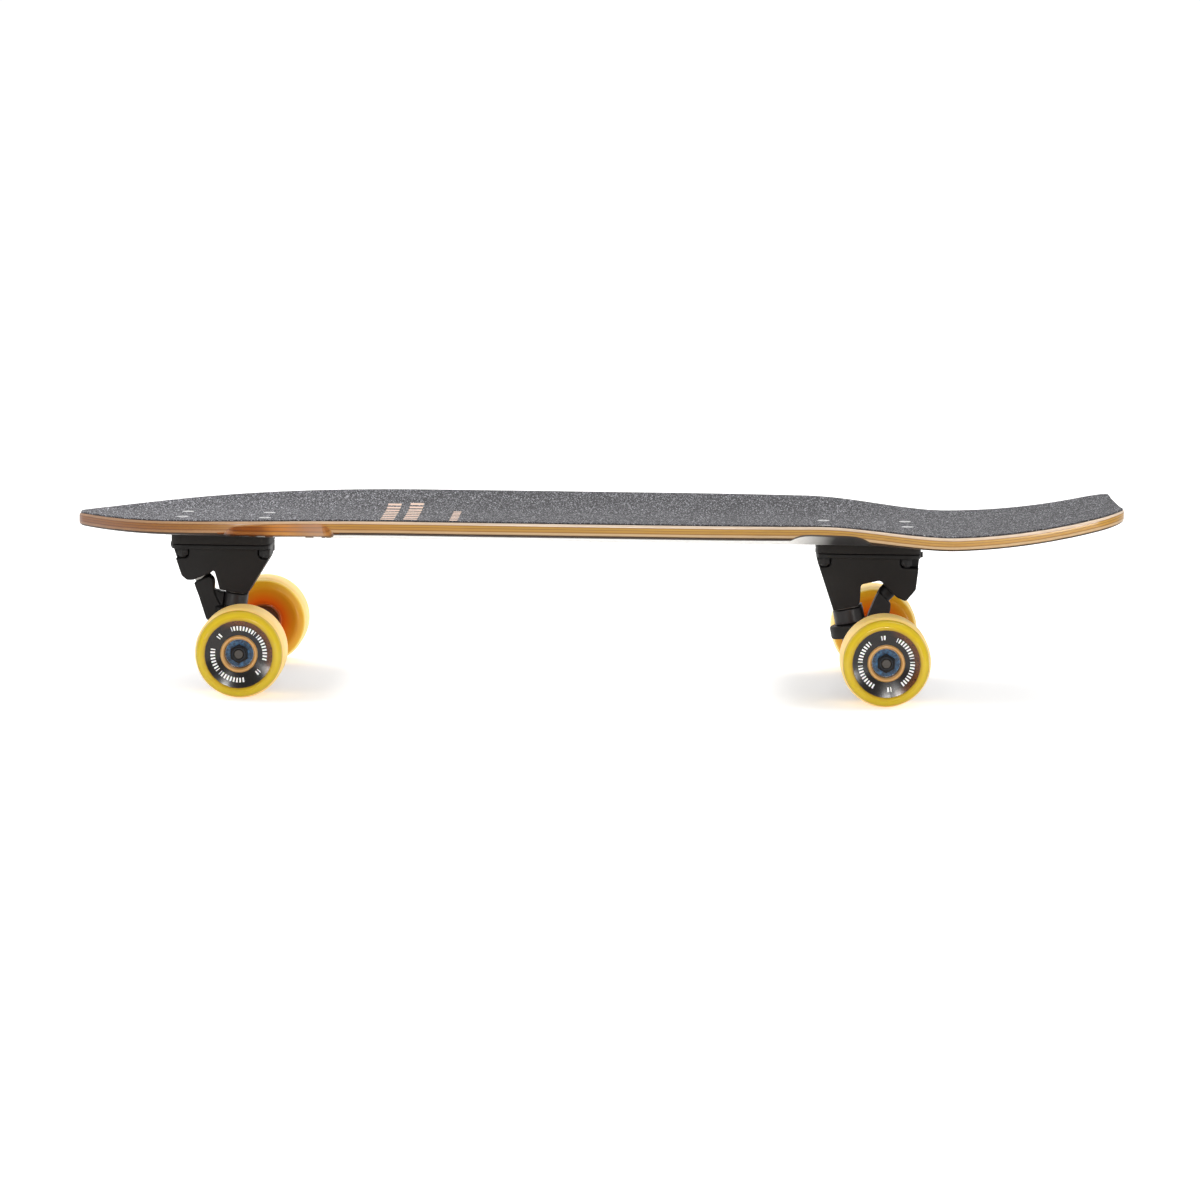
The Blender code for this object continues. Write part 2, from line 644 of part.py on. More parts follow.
def make_kingpin(truck, steering, frame, materials):
    name = truck["name"]
    place = {"parent": frame, "at": steering.ring_place(), "turn": steering.kingpin_turn}
    end = steering.kingpin_nut - KINGPIN_BEYOND_NUT
    seat = steering.head_top - KINGPIN_HEAD_HEIGHT
    pin = [
        (0, end),
        (KINGPIN_RADIUS, end),
        (KINGPIN_RADIUS, seat),
        (KINGPIN_HEAD_RADIUS, seat),
        (KINGPIN_HEAD_RADIUS, steering.head_top),
        (0, steering.head_top),
    ]
    add(f"{name}_kingpin", turned(pin, PIN_SIDES), materials["steel"], **place)
    nut_top = steering.kingpin_nut + KINGPIN_NUT_HEIGHT
    nut = nut_profile(KINGPIN_RADIUS, KINGPIN_NUT_ACROSS_FLATS, steering.kingpin_nut, nut_top)
    add(f"{name}_kingpin_nut", turned(nut, HEX_SIDES), materials["steel"], **place)
    bore = ring_radius_for(KINGPIN_RADIUS + RUNNING_GAP, PIN_SIDES)
    washers = (
        ("upper", steering.upper_washer, truck["upper_bushing_radius"]),
        ("lower", steering.lower_washer, LOWER_BUSHING_RADIUS),
    )
    for level, low, radius in washers:
        high = low + BUSHING_WASHER_THICKNESS
        washer = [(bore, low), (radius, low), (radius, high), (bore, high)]
        add(f"{name}_{level}_bushing_washer", turned(washer, PIN_SIDES), materials["steel"], **place)


def make_bushings(truck, steering, frame, materials):
    sizes = (
        ("upper", steering.upper_bushing, truck["upper_bushing_height"], truck["upper_bushing_radius"]),
        ("lower", steering.lower_bushing, LOWER_BUSHING_HEIGHT, LOWER_BUSHING_RADIUS),
    )
    bore = ring_radius_for(KINGPIN_RADIUS + CONTACT_GAP, BUSHING_SIDES)
    for level, low, height, radius in sizes:
        edge = radius - BUSHING_ROUNDING
        high = low + height
        profile = [
            (bore, low),
            (edge, low),
            (radius, low + BUSHING_ROUNDING),
            (radius, high - BUSHING_ROUNDING),
            (edge, high),
            (bore, high),
        ]
        add(
            f"{truck['name']}_{level}_bushing",
            turned(profile, BUSHING_SIDES),
            materials["black_urethane"],
            frame,
            steering.ring_place(),
            steering.kingpin_turn,
        )


def make_pivot_cup(truck, steering, frame, materials):
    bore = ring_radius_for(PIVOT_PIN_RADIUS + RUNNING_GAP, PIN_SIDES)
    wall = PIVOT_CUP_WALL - CONTACT_GAP / 2
    outer = ring_radius_for(PIVOT_PIN_RADIUS + RUNNING_GAP + wall, PIN_SIDES)
    mouth = truck["cup_mouth"]
    floor = steering.cup_floor
    back = floor + PIVOT_CUP_WALL
    profile = [(0, floor), (bore, floor), (bore, mouth), (outer, mouth), (outer, back), (0, back)]
    name = f"{truck['name']}_pivot_cup"
    place, turn = steering.ring_place(), steering.pivot_turn
    add(name, turned(profile, PIN_SIDES), materials["white_urethane"], frame, place, turn)


def bar_point(truck, steering, angle, towards=1.0):
    """A place just inside the bar's surface, from the middle of the ring. The angle is from level."""
    reach = truck["bar_radius"] - OVERLAP_IN_BAR
    turn = math.radians(angle)
    axle = steering.axle - steering.ring
    return axle + Vector((towards * math.cos(turn), math.sin(turn))) * reach


def arm_outline(truck, steering):
    """Side view of the arm, from the middle of the ring: from its outboard side up to the pivot's neck."""
    beside_ring = steering.across * -(truck["upper_bushing_radius"] + 2 * CONTACT_GAP)
    half_ring = steering.up * steering.ring_top
    (low_along, low_beside), (high_along, high_beside) = truck["arm_tip"]
    tip_low = steering.pivot * low_along + steering.normal * low_beside
    tip_high = steering.pivot * high_along + steering.normal * high_beside
    corners = [(*tip_high, 0.0), *truck["arm_upper_side"]]
    corners.append((*(beside_ring + half_ring), 0.0))
    corners.append((*(beside_ring - half_ring), 0.0))
    if truck["axle_x"] < truck["ring_x"]:
        corners.append((*bar_point(truck, steering, ARM_ANGLE_ON_BAR), 0.0))
    corners.append(truck["arm_heel"])
    corners.append((*tip_low, 0.0))
    return rounded(corners)


def gusset_outline(truck, steering):
    """Side view of the thin gusset that fills the corner between the arm and the upper bushing."""
    beside_ring = steering.across * -(truck["upper_bushing_radius"] + 2 * CONTACT_GAP)
    low = beside_ring + steering.up * (steering.ring_top - RING_CHAMFER)
    high = beside_ring + steering.up * (steering.ring_top + truck["gusset_height"])
    arm = [Vector(corner[:2]) for corner in truck["arm_upper_side"]]
    into_arm = steering.across * -RING_CHAMFER
    return [arm[1] + into_arm, arm[-1] + into_arm, low + into_arm, low, high]


def web_outline(truck, steering):
    """Side view of the web that joins the ring to the bar, clear of the lower bushing and kingpin nut."""
    towards = math.copysign(1.0, truck["axle_x"] - truck["ring_x"])
    clear = steering.across * towards * (LOWER_BUSHING_RADIUS + 4 * CONTACT_GAP)
    edge = steering.across * towards * (truck["ring_radius"] - RING_CHAMFER)
    inside = steering.up * (steering.ring_top - CONTACT_GAP)
    back, front = WEB_ANGLES_ON_BAR
    return [
        clear - inside,
        bar_point(truck, steering, back, towards),
        bar_point(truck, steering, front, towards),
        edge + inside,
        clear + inside,
    ]


def bar_profile(truck):
    """The bar across the truck: a waist in the middle, full ends, and a nose against each bearing."""
    bore = ring_radius_for(AXLE_PIN_RADIUS + RUNNING_GAP, FINE_SIDES)
    end = HANGER_HALF_LENGTH
    shoulder = end - BAR_NOSE_LENGTH
    half = [
        (truck["bar_radius"], BAR_WAIST_LENGTH / 2),
        (BAR_END_RADIUS, shoulder - BAR_SHOULDER_LENGTH),
        (BAR_END_RADIUS, shoulder),
        (BAR_NOSE_RADIUS, shoulder),
        (BAR_NOSE_RADIUS, end),
        (bore, end),
    ]
    return [(radius, -y) for radius, y in reversed(half)] + half


def make_hanger(truck, steering, steer, materials):
    """The hanger turns with the steering empty, whose origin is the middle of its ring."""
    name = truck["name"]
    half = truck["ring_height"] / 2
    outer = truck["ring_radius"]
    hole = KINGPIN_HOLE_IN_RING
    ring = [
        (hole, -half),
        (outer - RING_CHAMFER, -half),
        (outer, -half + RING_CHAMFER),
        (outer, half - RING_CHAMFER),
        (outer - RING_CHAMFER, half),
        (hole, half),
    ]
    hanger = add(f"{name}_hanger", turned(ring, RING_SIDES), materials["black_alloy"], steer)
    hanger.rotation_euler = steering.kingpin_turn
    plates = [
        ("arm", arm_outline(truck, steering), ARM_THICKNESS),
        ("web", web_outline(truck, steering), WEB_WIDTH),
    ]
    if truck["gusset_height"] > 0:
        plates.append(("gusset", gusset_outline(truck, steering), GUSSET_THICKNESS))
    for label, outline, width in plates:
        tool = add_tool(f"{name}_{label}", prism(outline, -width / 2, width / 2), steer)
        combine(hanger, "UNION", tool)
    axle = steering.axle - steering.ring
    bar = turned(bar_profile(truck), BUSHING_SIDES)
    combine(hanger, "UNION", add_tool(f"{name}_bar", bar, steer, (axle.x, 0, axle.y), (-math.pi / 2, 0, 0)))
    pivot = add_tool(f"{name}_pivot", turned(pivot_profile(truck), PIN_SIDES), steer)
    pivot.rotation_euler = steering.pivot_turn
    combine(hanger, "UNION", pivot)


def pivot_profile(truck):
    """Neck and round-ended pin along the steering axis."""
    start = truck["arm_tip"][-1][0] - NECK_IN_ARM
    neck_end = truck["cup_mouth"] - CONTACT_GAP
    pin_end = truck["cup_mouth"] + PIVOT_PIN_LENGTH
    profile = [(0, start), (NECK_RADIUS, start), (NECK_RADIUS, neck_end), (PIVOT_PIN_RADIUS, neck_end)]
    for step in range(PIVOT_END_STEPS):
        angle = math.pi / 2 * step / PIVOT_END_STEPS
        height = pin_end - PIVOT_PIN_RADIUS * (1 - math.sin(angle))
        profile.append((PIVOT_PIN_RADIUS * math.cos(angle), height))
    return profile + [(0, pin_end)]


def make_axle(truck, steering, steer, materials):
    """The axle with, on each side, the spacer inside the wheel and the nut with its washer."""
    name = truck["name"]
    place = steering.axle - steering.ring
    radius, end = AXLE_PIN_RADIUS, AXLE_HALF_LENGTH
    rod = turned([(0, -end), (radius, -end), (radius, end), (0, end)], FINE_SIDES)
    add(f"{name}_axle", rod, materials["steel"], steer, (place.x, 0, place.y), (-math.pi / 2, 0, 0))
    bore = ring_radius_for(radius + RUNNING_GAP, FINE_SIDES)
    spacer_end = BEARING_SPACING / 2 - CONTACT_GAP
    spacer = [
        (bore, -spacer_end),
        (SPACER_RADIUS, -spacer_end),
        (SPACER_RADIUS, spacer_end),
        (bore, spacer_end),
    ]
    nut = nut_profile(radius, AXLE_NUT_ACROSS_FLATS, AXLE_NUT_SEAT, AXLE_NUT_SEAT + AXLE_NUT_HEIGHT)
    washer_low = AXLE_NUT_SEAT - SPEED_WASHER_THICKNESS
    inside_nut = AXLE_NUT_SEAT + SPEED_WASHER_THICKNESS
    washer = [
        (bore, washer_low),
        (SPEED_WASHER_RADIUS, washer_low),
        (SPEED_WASHER_RADIUS, AXLE_NUT_SEAT),
        (SPACER_RADIUS, inside_nut),
        (bore, inside_nut),
    ]
    for side_name, side in sides_of(truck):
        middle = (place.x, side * TRACK / 2, place.y)
        on_side = {"parent": steer, "at": middle, "turn": (-side * math.pi / 2, 0, 0)}
        label = f"{name}_{side_name}"
        add(f"{label}_spacer", turned(spacer, FINE_SIDES), materials["steel"], **on_side)
        nut_object = add(f"{label}_axle_nut", turned(nut, HEX_SIDES), materials["dark_steel"], **on_side)
        tool = add_tool(f"{label}_speed_washer", turned(washer, FINE_SIDES), **on_side)
        combine(nut_object, "UNION", tool)


def sides_of(truck):
    """The rider's left and right when facing the nose, as signs of y in the truck's own frame."""
    facing = 1 if truck is FRONT else -1
    return (("left", -facing), ("right", facing))


def wheel_profile():
    """Half of the section from the bore out over the face to the tread, then its mirror image."""
    half_width_of_wheel = WHEEL_WIDTH / 2
    seat = BEARING_SPACING / 2 - CONTACT_GAP
    bearing_bore = BEARING_RADIUS + CONTACT_GAP / 2
    shoulder_radius, shoulder_depth = WHEEL_SHOULDER
    tread = ring_radius_for(WHEEL_RADIUS, WHEEL_SIDES)
    lip = half_width_of_wheel - HUB_LIP_DEPTH
    half = [
        (HUB_SHOULDER_RADIUS, seat),
        (ring_radius_for(bearing_bore, WHEEL_SIDES), seat),
        (ring_radius_for(bearing_bore, WHEEL_SIDES), lip),
        (HUB_LIP_RADIUS, lip),
        (HUB_LIP_RADIUS, half_width_of_wheel - WHEEL_FACE_DEPTH),
        (WHEEL_FACE_LIP_RADIUS, half_width_of_wheel),
        (shoulder_radius, half_width_of_wheel - shoulder_depth),
        (tread, TREAD_WIDTH / 2),
    ]
    return half + [(radius, -y) for radius, y in reversed(half)]


def make_wheels(truck, steering, steer, materials):
    """Each wheel turns about its own origin, and carries two bearings."""
    place = steering.axle - steering.ring
    half = BEARING_WIDTH / 2
    bore = ring_radius_for(AXLE_RADIUS + RUNNING_GAP / 2, PIN_SIDES)
    bearing = [(bore, -half), (BEARING_RADIUS, -half), (BEARING_RADIUS, half), (bore, half)]
    urethane, shield = materials["yellow_urethane"], materials["blue_shield"]
    for side_name, side in sides_of(truck):
        turn = (-side * math.pi / 2, 0, 0)
        at = Vector((place.x, side * TRACK / 2, place.y))
        name = f"{truck['name']}_{side_name}"
        add(f"{name}_wheel", turned(wheel_profile(), WHEEL_SIDES), urethane, steer, at, turn)
        for label, direction in (("inner", -1), ("outer", 1)):
            offset = Vector((0, direction * side * (BEARING_SPACING + BEARING_WIDTH) / 2, 0))
            race = turned(bearing, PIN_SIDES)
            add(f"{name}_{label}_bearing", race, shield, steer, at + offset, turn)


def make_truck(truck, materials, bolt_holes):
    steering = Steering(truck)
    mounting = (pattern_middle(truck), 0, MOUNT_HEIGHT)
    facing = (0, 0, 0) if truck is FRONT else (0, 0, math.pi)
    frame = add_empty(f"{truck['name']}_truck", at=mounting, turn=facing)
    steer = add_empty(f"{truck['name']}_steering_axis", frame, steering.ring_place())
    make_baseplate(truck, steering, frame, materials, bolt_holes)
    make_bolts(truck, frame, materials)
    make_kingpin(truck, steering, frame, materials)
    make_bushings(truck, steering, frame, materials)
    make_pivot_cup(truck, steering, frame, materials)
    make_hanger(truck, steering, steer, materials)
    make_axle(truck, steering, steer, materials)
    make_wheels(truck, steering, steer, materials)


def make_materials():
    return {
        "maple": new_material("maple", (0.60, 0.36, 0.13), 0.35),
        "grip": new_material("grip", (0.085, 0.09, 0.105), 0.95),
        "black_alloy": new_material("black_alloy", (0.012, 0.012, 0.013), 0.42, 0.3),
        "black_rubber": new_material("black_rubber", (0.015, 0.015, 0.015), 0.7),
        "black_urethane": new_material("black_urethane", (0.02, 0.019, 0.018), 0.5),
        "white_urethane": new_material("white_urethane", (0.75, 0.75, 0.72), 0.5),
        "yellow_urethane": new_material("yellow_urethane", (0.83, 0.58, 0.06), 0.4),
        "steel": new_material("steel", (0.62, 0.62, 0.63), 0.28, 1.0),
        "dark_steel": new_material("dark_steel", (0.2, 0.2, 0.21), 0.4, 1.0),
        "blue_shield": new_material("blue_shield", (0.03, 0.12, 0.45), 0.45),
    }


def main():
    clear_scene()
    materials = make_materials()
    bolt_holes = bolt_hole_tool()
    make_deck(materials, bolt_holes)
    for truck in (FRONT, REAR):
        make_truck(truck, materials, bolt_holes)


main()
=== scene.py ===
import math

import bmesh
import bpy
import numpy as np
from mathutils import Matrix, Vector


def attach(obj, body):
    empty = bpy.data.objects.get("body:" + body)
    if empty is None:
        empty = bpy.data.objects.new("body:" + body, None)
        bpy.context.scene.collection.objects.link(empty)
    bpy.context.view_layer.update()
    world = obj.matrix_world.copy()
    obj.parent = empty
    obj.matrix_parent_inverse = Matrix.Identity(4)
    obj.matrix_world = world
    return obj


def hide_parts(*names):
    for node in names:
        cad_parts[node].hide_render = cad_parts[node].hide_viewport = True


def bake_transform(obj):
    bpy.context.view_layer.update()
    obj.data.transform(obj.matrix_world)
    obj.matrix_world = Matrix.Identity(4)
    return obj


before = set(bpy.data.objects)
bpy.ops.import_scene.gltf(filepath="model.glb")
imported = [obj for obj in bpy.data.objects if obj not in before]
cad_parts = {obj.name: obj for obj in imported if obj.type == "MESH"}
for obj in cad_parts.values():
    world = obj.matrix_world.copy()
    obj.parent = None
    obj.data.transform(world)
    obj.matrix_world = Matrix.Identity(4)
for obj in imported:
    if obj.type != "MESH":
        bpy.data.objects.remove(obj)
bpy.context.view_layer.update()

# All sizes are in metres, and lie where the solid model has them

board = {
    "length": 0.8035, "width": 0.259, "thickness": 0.0103, "topHeight": 0.1259,
    "widest": 0.4812, "nosePower": 6.77, "noseBluntness": 0.966, "noseTip": 0.018,
    "noseRise": 0.002, "noseRiseLength": 0.0715, "tailTaper": 0.0528, "tailPower": 1.57,
    "tailCorner": 0.022, "kickRadius": 0.515, "kickLength": 0.142, "concave": 0.0104,
    "runIn": 0.2615, "concaveAtTail": 0.0014, "fadeStart": 0.237, "fadeEnd": 0.127,
    "flatShare": 0.31, "railRounding": 0.0026, "flatInset": 0.0015,
}


def tone(red, green, blue):
    # a colour as a paint chart gives it, 0 to 255, turned to linear light
    linear = []
    for part in (red, green, blue):
        part = part / 255
        linear.append(part / 12.92 if part <= 0.04045 else ((part + 0.055) / 1.055) ** 2.4)
    return (*linear, 1.0)


def toned(stops):
    return [(place, tone(*colour)) for place, colour in stops]


# Handling meshes

meshValues = {"samePoint": 1e-7, "touching": 1e-6, "sharpFrom": 32.0, "speck": 0.001}


def putDown():
    if bpy.context.mode != "OBJECT":
        bpy.ops.object.mode_set(mode="OBJECT")
    bpy.ops.object.select_all(action="DESELECT")


def pickUp(piece):
    putDown()
    piece.select_set(True)
    bpy.context.view_layer.objects.active = piece


def openMesh(piece, everything=False):
    pickUp(piece)
    bpy.ops.object.mode_set(mode="EDIT")
    bpy.ops.mesh.select_mode(type="VERT")
    bpy.ops.mesh.select_all(action="SELECT" if everything else "DESELECT")


def closeMesh():
    bpy.ops.object.mode_set(mode="OBJECT")


def nameIt(piece, name):
    piece.name = name
    piece.data.name = name
    return piece


def pickEdges(piece, test):
    # selects the edges whose two ends pass the test
    shape = bmesh.from_edit_mesh(piece.data)
    bpy.ops.mesh.select_mode(type="EDGE")
    for edge in shape.edges:
        edge.select_set(test(edge.verts[0].co, edge.verts[1].co))
    bmesh.update_edit_mesh(piece.data)


def bakePlace(piece, place=None):
    pickUp(piece)
    if place is not None:
        piece.matrix_world = place
    bpy.ops.object.transform_apply(location=True, rotation=True, scale=True)
    return piece


def copyOf(piece, name):
    pickUp(piece)
    bpy.ops.object.duplicate(linked=False)
    return nameIt(bpy.context.object, name)


def throwAway(*pieces):
    for piece in pieces:
        bpy.data.objects.remove(piece, do_unlink=True)


def cutWith(piece, tool, operation="DIFFERENCE"):
    pickUp(piece)
    cut = piece.modifiers.new("cut", "BOOLEAN")
    cut.operation = operation
    cut.solver = "EXACT"
    cut.object = tool
    bpy.ops.object.modifier_apply(modifier=cut.name)
    throwAway(tool)


def roundEdges(piece, width, steps):
    pickUp(piece)
    soft = piece.modifiers.new("soft edges", "BEVEL")
    soft.width = width
    soft.segments = steps
    soft.limit_method = "ANGLE"
    soft.angle_limit = math.radians(meshValues["sharpFrom"])
    soft.use_clamp_overlap = True
    bpy.ops.object.modifier_apply(modifier=soft.name)


def joinPieces(first, others):
    pickUp(first)
    for other in others:
        other.select_set(True)
    bpy.ops.object.join()
    return first


def smoothShade(piece, angle):
    pickUp(piece)
    bpy.ops.object.shade_smooth_by_angle(angle=math.radians(angle))


def mergePoints(within):
    bpy.ops.mesh.select_all(action="SELECT")
    bpy.ops.mesh.remove_doubles(threshold=meshValues[within])


def faceOut(piece):
    openMesh(piece, everything=True)
    mergePoints("touching")
    bpy.ops.mesh.normals_make_consistent(inside=False)
    closeMesh()


def paintWith(piece, *finishes):
    piece.data.materials.clear()
    for finish in finishes:
        piece.data.materials.append(finish)


def standFor(piece, node, body):
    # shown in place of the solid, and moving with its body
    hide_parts(node)
    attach(piece, body)


def easeCorners(corners, steps=5):
    # an open line through (a, b, radius) corners, with an arc at each one inside it
    spots = [Vector(corner[:2]) for corner in corners]
    line = [spots[0]]
    for before, (a, b, radius), after in zip(spots, corners[1:-1], spots[2:]):
        corner = Vector((a, b))
        if radius == 0:
            line.append(corner)
            continue
        back, on = (before - corner).normalized(), (after - corner).normalized()
        half = back.angle(on) / 2
        touch = min(radius / math.tan(half), 0.48 * min((before - corner).length, (after - corner).length))
        centre = corner + (back + on).normalized() * touch / math.cos(half)
        start, end = corner + back * touch - centre, corner + on * touch - centre
        turn = math.atan2(start.x * end.y - start.y * end.x, start.dot(end))
        for step in range(steps + 1):
            angle = turn * step / steps
            line.append(centre + start * math.cos(angle) + Vector((-start.y, start.x)) * math.sin(angle))
    return line + [spots[-1]]


def drawLine(name, points):
    # one corner of a small plane is drawn out, point by point, into a line in x and z
    putDown()
    bpy.ops.mesh.primitive_plane_add(size=meshValues["speck"])
    piece = nameIt(bpy.context.object, name)
    openMesh(piece, everything=True)
    bpy.ops.mesh.merge(type="CENTER")
    bpy.ops.transform.translate(value=(points[0][0], 0, points[0][1]))
    for here, there in zip(points, points[1:]):
        step = (there[0] - here[0], 0, there[1] - here[1])
        bpy.ops.mesh.extrude_region_move(TRANSFORM_OT_translate={"value": step})
    return piece


def turnPiece(name, points, sides, ring=True):
    # spins a line of (radius, height) about z; a ring's line is closed first
    if ring:
        points = list(points) + [points[0]]
    piece = drawLine(name, points)
    mergePoints("samePoint")
    bpy.ops.mesh.select_all(action="SELECT")
    bpy.ops.mesh.spin(steps=sides, angle=2 * math.pi, center=(0, 0, 0), axis=(0, 0, 1))
    closeMesh()
    faceOut(piece)
    return piece


def extrudeOutline(name, points, low, high):
    # a flat outline in x and z, given its depth along y
    piece = drawLine(name, list(points) + [points[0]])
    mergePoints("samePoint")
    bpy.ops.transform.translate(value=(0, low, 0))
    bpy.ops.mesh.select_all(action="SELECT")
    bpy.ops.mesh.edge_face_add()
    bpy.ops.mesh.extrude_region_move(TRANSFORM_OT_translate={"value": (0, high - low, 0)})
    closeMesh()
    faceOut(piece)
    return piece


# Node trees

def newFinish(name, **values):
    finish = bpy.data.materials.new(name)
    finish.use_nodes = True
    surface = finish.node_tree.nodes["Principled BSDF"]
    for label, value in values.items():
        surface.inputs[label.replace("_", " ")].default_value = value
    return finish, finish.node_tree, surface


def addNode(tree, kind, **settings):
    node = tree.nodes.new(kind)
    for key, value in settings.items():
        setattr(node, key, value)
    return node


def feed(tree, socket, value):
    if isinstance(value, bpy.types.NodeSocket):
        tree.links.new(value, socket)
    else:
        socket.default_value = value


def reckon(tree, operation, first, second=0.0, third=0.0):
    node = addNode(tree, "ShaderNodeMath", operation=operation)
    for socket, value in zip(node.inputs, (first, second, third)):
        feed(tree, socket, value)
    return node.outputs[0]


def blendTones(tree, share, under, over, mode="MIX"):
    node = addNode(tree, "ShaderNodeMix", data_type="RGBA", blend_type=mode)
    feed(tree, node.inputs[0], share)
    feed(tree, node.inputs[6], under)
    feed(tree, node.inputs[7], over)
    return node.outputs[2]


def rampOf(tree, value, stops, smooth="LINEAR"):
    # a colour is four numbers, or one for a grey
    node = addNode(tree, "ShaderNodeValToRGB")
    node.color_ramp.interpolation = smooth
    while len(node.color_ramp.elements) < len(stops):
        node.color_ramp.elements.new(0.5)
    for element, (place, _) in zip(node.color_ramp.elements, stops):
        element.position = place
    # places once more, because the stops change order while they are set
    for element, (place, colour) in zip(node.color_ramp.elements, stops):
        element.position = place
        element.color = colour if hasattr(colour, "__len__") else (colour, colour, colour, 1.0)
    feed(tree, node.inputs[0], value)
    return node.outputs[0]


def between(tree, value, low, high, outLow=0.0, outHigh=1.0):
    node = addNode(tree, "ShaderNodeMapRange", interpolation_type="SMOOTHSTEP")
    for socket, number in zip(node.inputs, (value, low, high, outLow, outHigh)):
        feed(tree, socket, number)
    return node.outputs[0]


def times(tree, first, second):
    return reckon(tree, "MULTIPLY", first, second)


def tint(tree, under, over):
    return blendTones(tree, 1.0, under, over, "MULTIPLY")


def placeOf(tree, scale=(1, 1, 1)):
    spot = addNode(tree, "ShaderNodeTexCoord").outputs["Object"]
    mapping = addNode(tree, "ShaderNodeMapping")
    mapping.inputs["Scale"].default_value = scale
    tree.links.new(spot, mapping.inputs["Vector"])
    return mapping.outputs[0]


def splitPlace(tree, place=None):
    # x, y and z of each spot on the surface
    if place is None:
        place = addNode(tree, "ShaderNodeTexCoord").outputs["Object"]
    parts = addNode(tree, "ShaderNodeSeparateXYZ")
    tree.links.new(place, parts.inputs[0])
    return parts.outputs


def shareOfLength(tree, x):
    # 0 at the nose and 1 at the tail
    return reckon(tree, "MULTIPLY_ADD", x, 1 / board["length"], 0.5)


def readMark(tree, name, output="Fac"):
    return addNode(tree, "ShaderNodeAttribute", attribute_name=name).outputs[output]


def noiseOf(tree, place, scale, detail=3.0, roughness=0.55):
    node = addNode(tree, "ShaderNodeTexNoise")
    node.inputs["Scale"].default_value = scale
    node.inputs["Detail"].default_value = detail
    node.inputs["Roughness"].default_value = roughness
    tree.links.new(place, node.inputs["Vector"])
    return node.outputs["Fac"]


def raiseGrain(tree, surface, height, depth, strength):
    bump = addNode(tree, "ShaderNodeBump")
    bump.inputs["Strength"].default_value = strength
    bump.inputs["Distance"].default_value = depth
    tree.links.new(height, bump.inputs["Height"])
    tree.links.new(bump.outputs[0], surface.inputs["Normal"])


# The camera and the studio

studio = {
    "lens": 136.5, "sensor": 36.0, "farthest": 200.0,
    "place": (0.0562, -3.5096, 0.472), "pitch": 0.1156, "yaw": -0.0152, "roll": 0.0129,
    "skySeen": 1.05, "skyAhead": 0.95, "skyBehindCamera": 0.3, "skyTurn": (-0.5, 0.4),
    # size, place, power and tint of each light
    "lights": {
        "overhead": ((2.4, 1.2), (0.1, 0.45, 2.0), 34.0, (1.0, 0.985, 0.96)),
        "topFront": ((0.18, 0.1), (-0.04, -1.43, 0.63), 3.2, (1.0, 0.99, 0.97)),
        "topRear": ((0.18, 0.1), (0.26, -1.43, 0.71), 3.2, (1.0, 0.99, 0.97)),
        "sideLeft": ((0.16, 0.3), (-1.2, -1.43, 0.29), 3.0, (1.0, 0.99, 0.97)),
        "sideRight": ((0.16, 0.3), (1.15, -1.43, 0.2), 3.0, (1.0, 0.99, 0.97)),
    },
    "lightsAimAt": (0, 0, 0.08),
    "floorSize": 60.0, "floorTone": (0.78, 0.78, 0.78), "floorRoughness": 0.9,
    "floorSeen": 0.62, "floorSeenNear": 0.34, "floorGlow": 0.15,
    # half length and half width of the shade that shows about each axle, and how far it slips from it
    "shadeReach": (0.072, 0.26), "shadeSlip": {"front": 0.03, "rear": -0.035}, "shadeCore": 0.35,
}


def seenOr(tree, seen, otherwise):
    # one strength for the camera, another for the light that reaches the board
    node = addNode(tree, "ShaderNodeMix", data_type="FLOAT")
    tree.links.new(addNode(tree, "ShaderNodeLightPath").outputs["Is Camera Ray"], node.inputs[0])
    feed(tree, node.inputs[2], otherwise)
    feed(tree, node.inputs[3], seen)
    return node.outputs[0]


def setCamera():
    pitch, yaw, roll = studio["pitch"], studio["yaw"], studio["roll"]
    ahead = Vector((math.sin(yaw) * math.cos(pitch), math.cos(yaw) * math.cos(pitch), -math.sin(pitch)))
    level = Vector((math.cos(yaw), -math.sin(yaw), 0))
    upright = level.cross(ahead)
    right = math.cos(roll) * level + math.sin(roll) * upright
    up = math.cos(roll) * upright - math.sin(roll) * level
    lens = bpy.data.cameras.new("photoCamera")
    lens.sensor_width = studio["sensor"]
    lens.lens = studio["lens"]
    lens.clip_end = studio["farthest"]
    camera = bpy.data.objects.new("photoCamera", lens)
    bpy.context.scene.collection.objects.link(camera)
    rows = zip(right, up, -ahead, studio["place"])
    camera.matrix_world = Matrix((*rows, (0, 0, 0, 1)))
    bpy.context.scene.camera = camera


def hangLight(name, size, place, power, colour):
    lamp = bpy.data.lights.new(name, "AREA")
    lamp.shape = "RECTANGLE"
    lamp.size, lamp.size_y = size
    lamp.energy = power
    lamp.color = colour
    holder = bpy.data.objects.new(name, lamp)
    bpy.context.scene.collection.objects.link(holder)
    holder.location = place
    aim = Vector(studio["lightsAimAt"]) - holder.location
    holder.rotation_euler = aim.to_track_quat("-Z", "Y").to_euler()


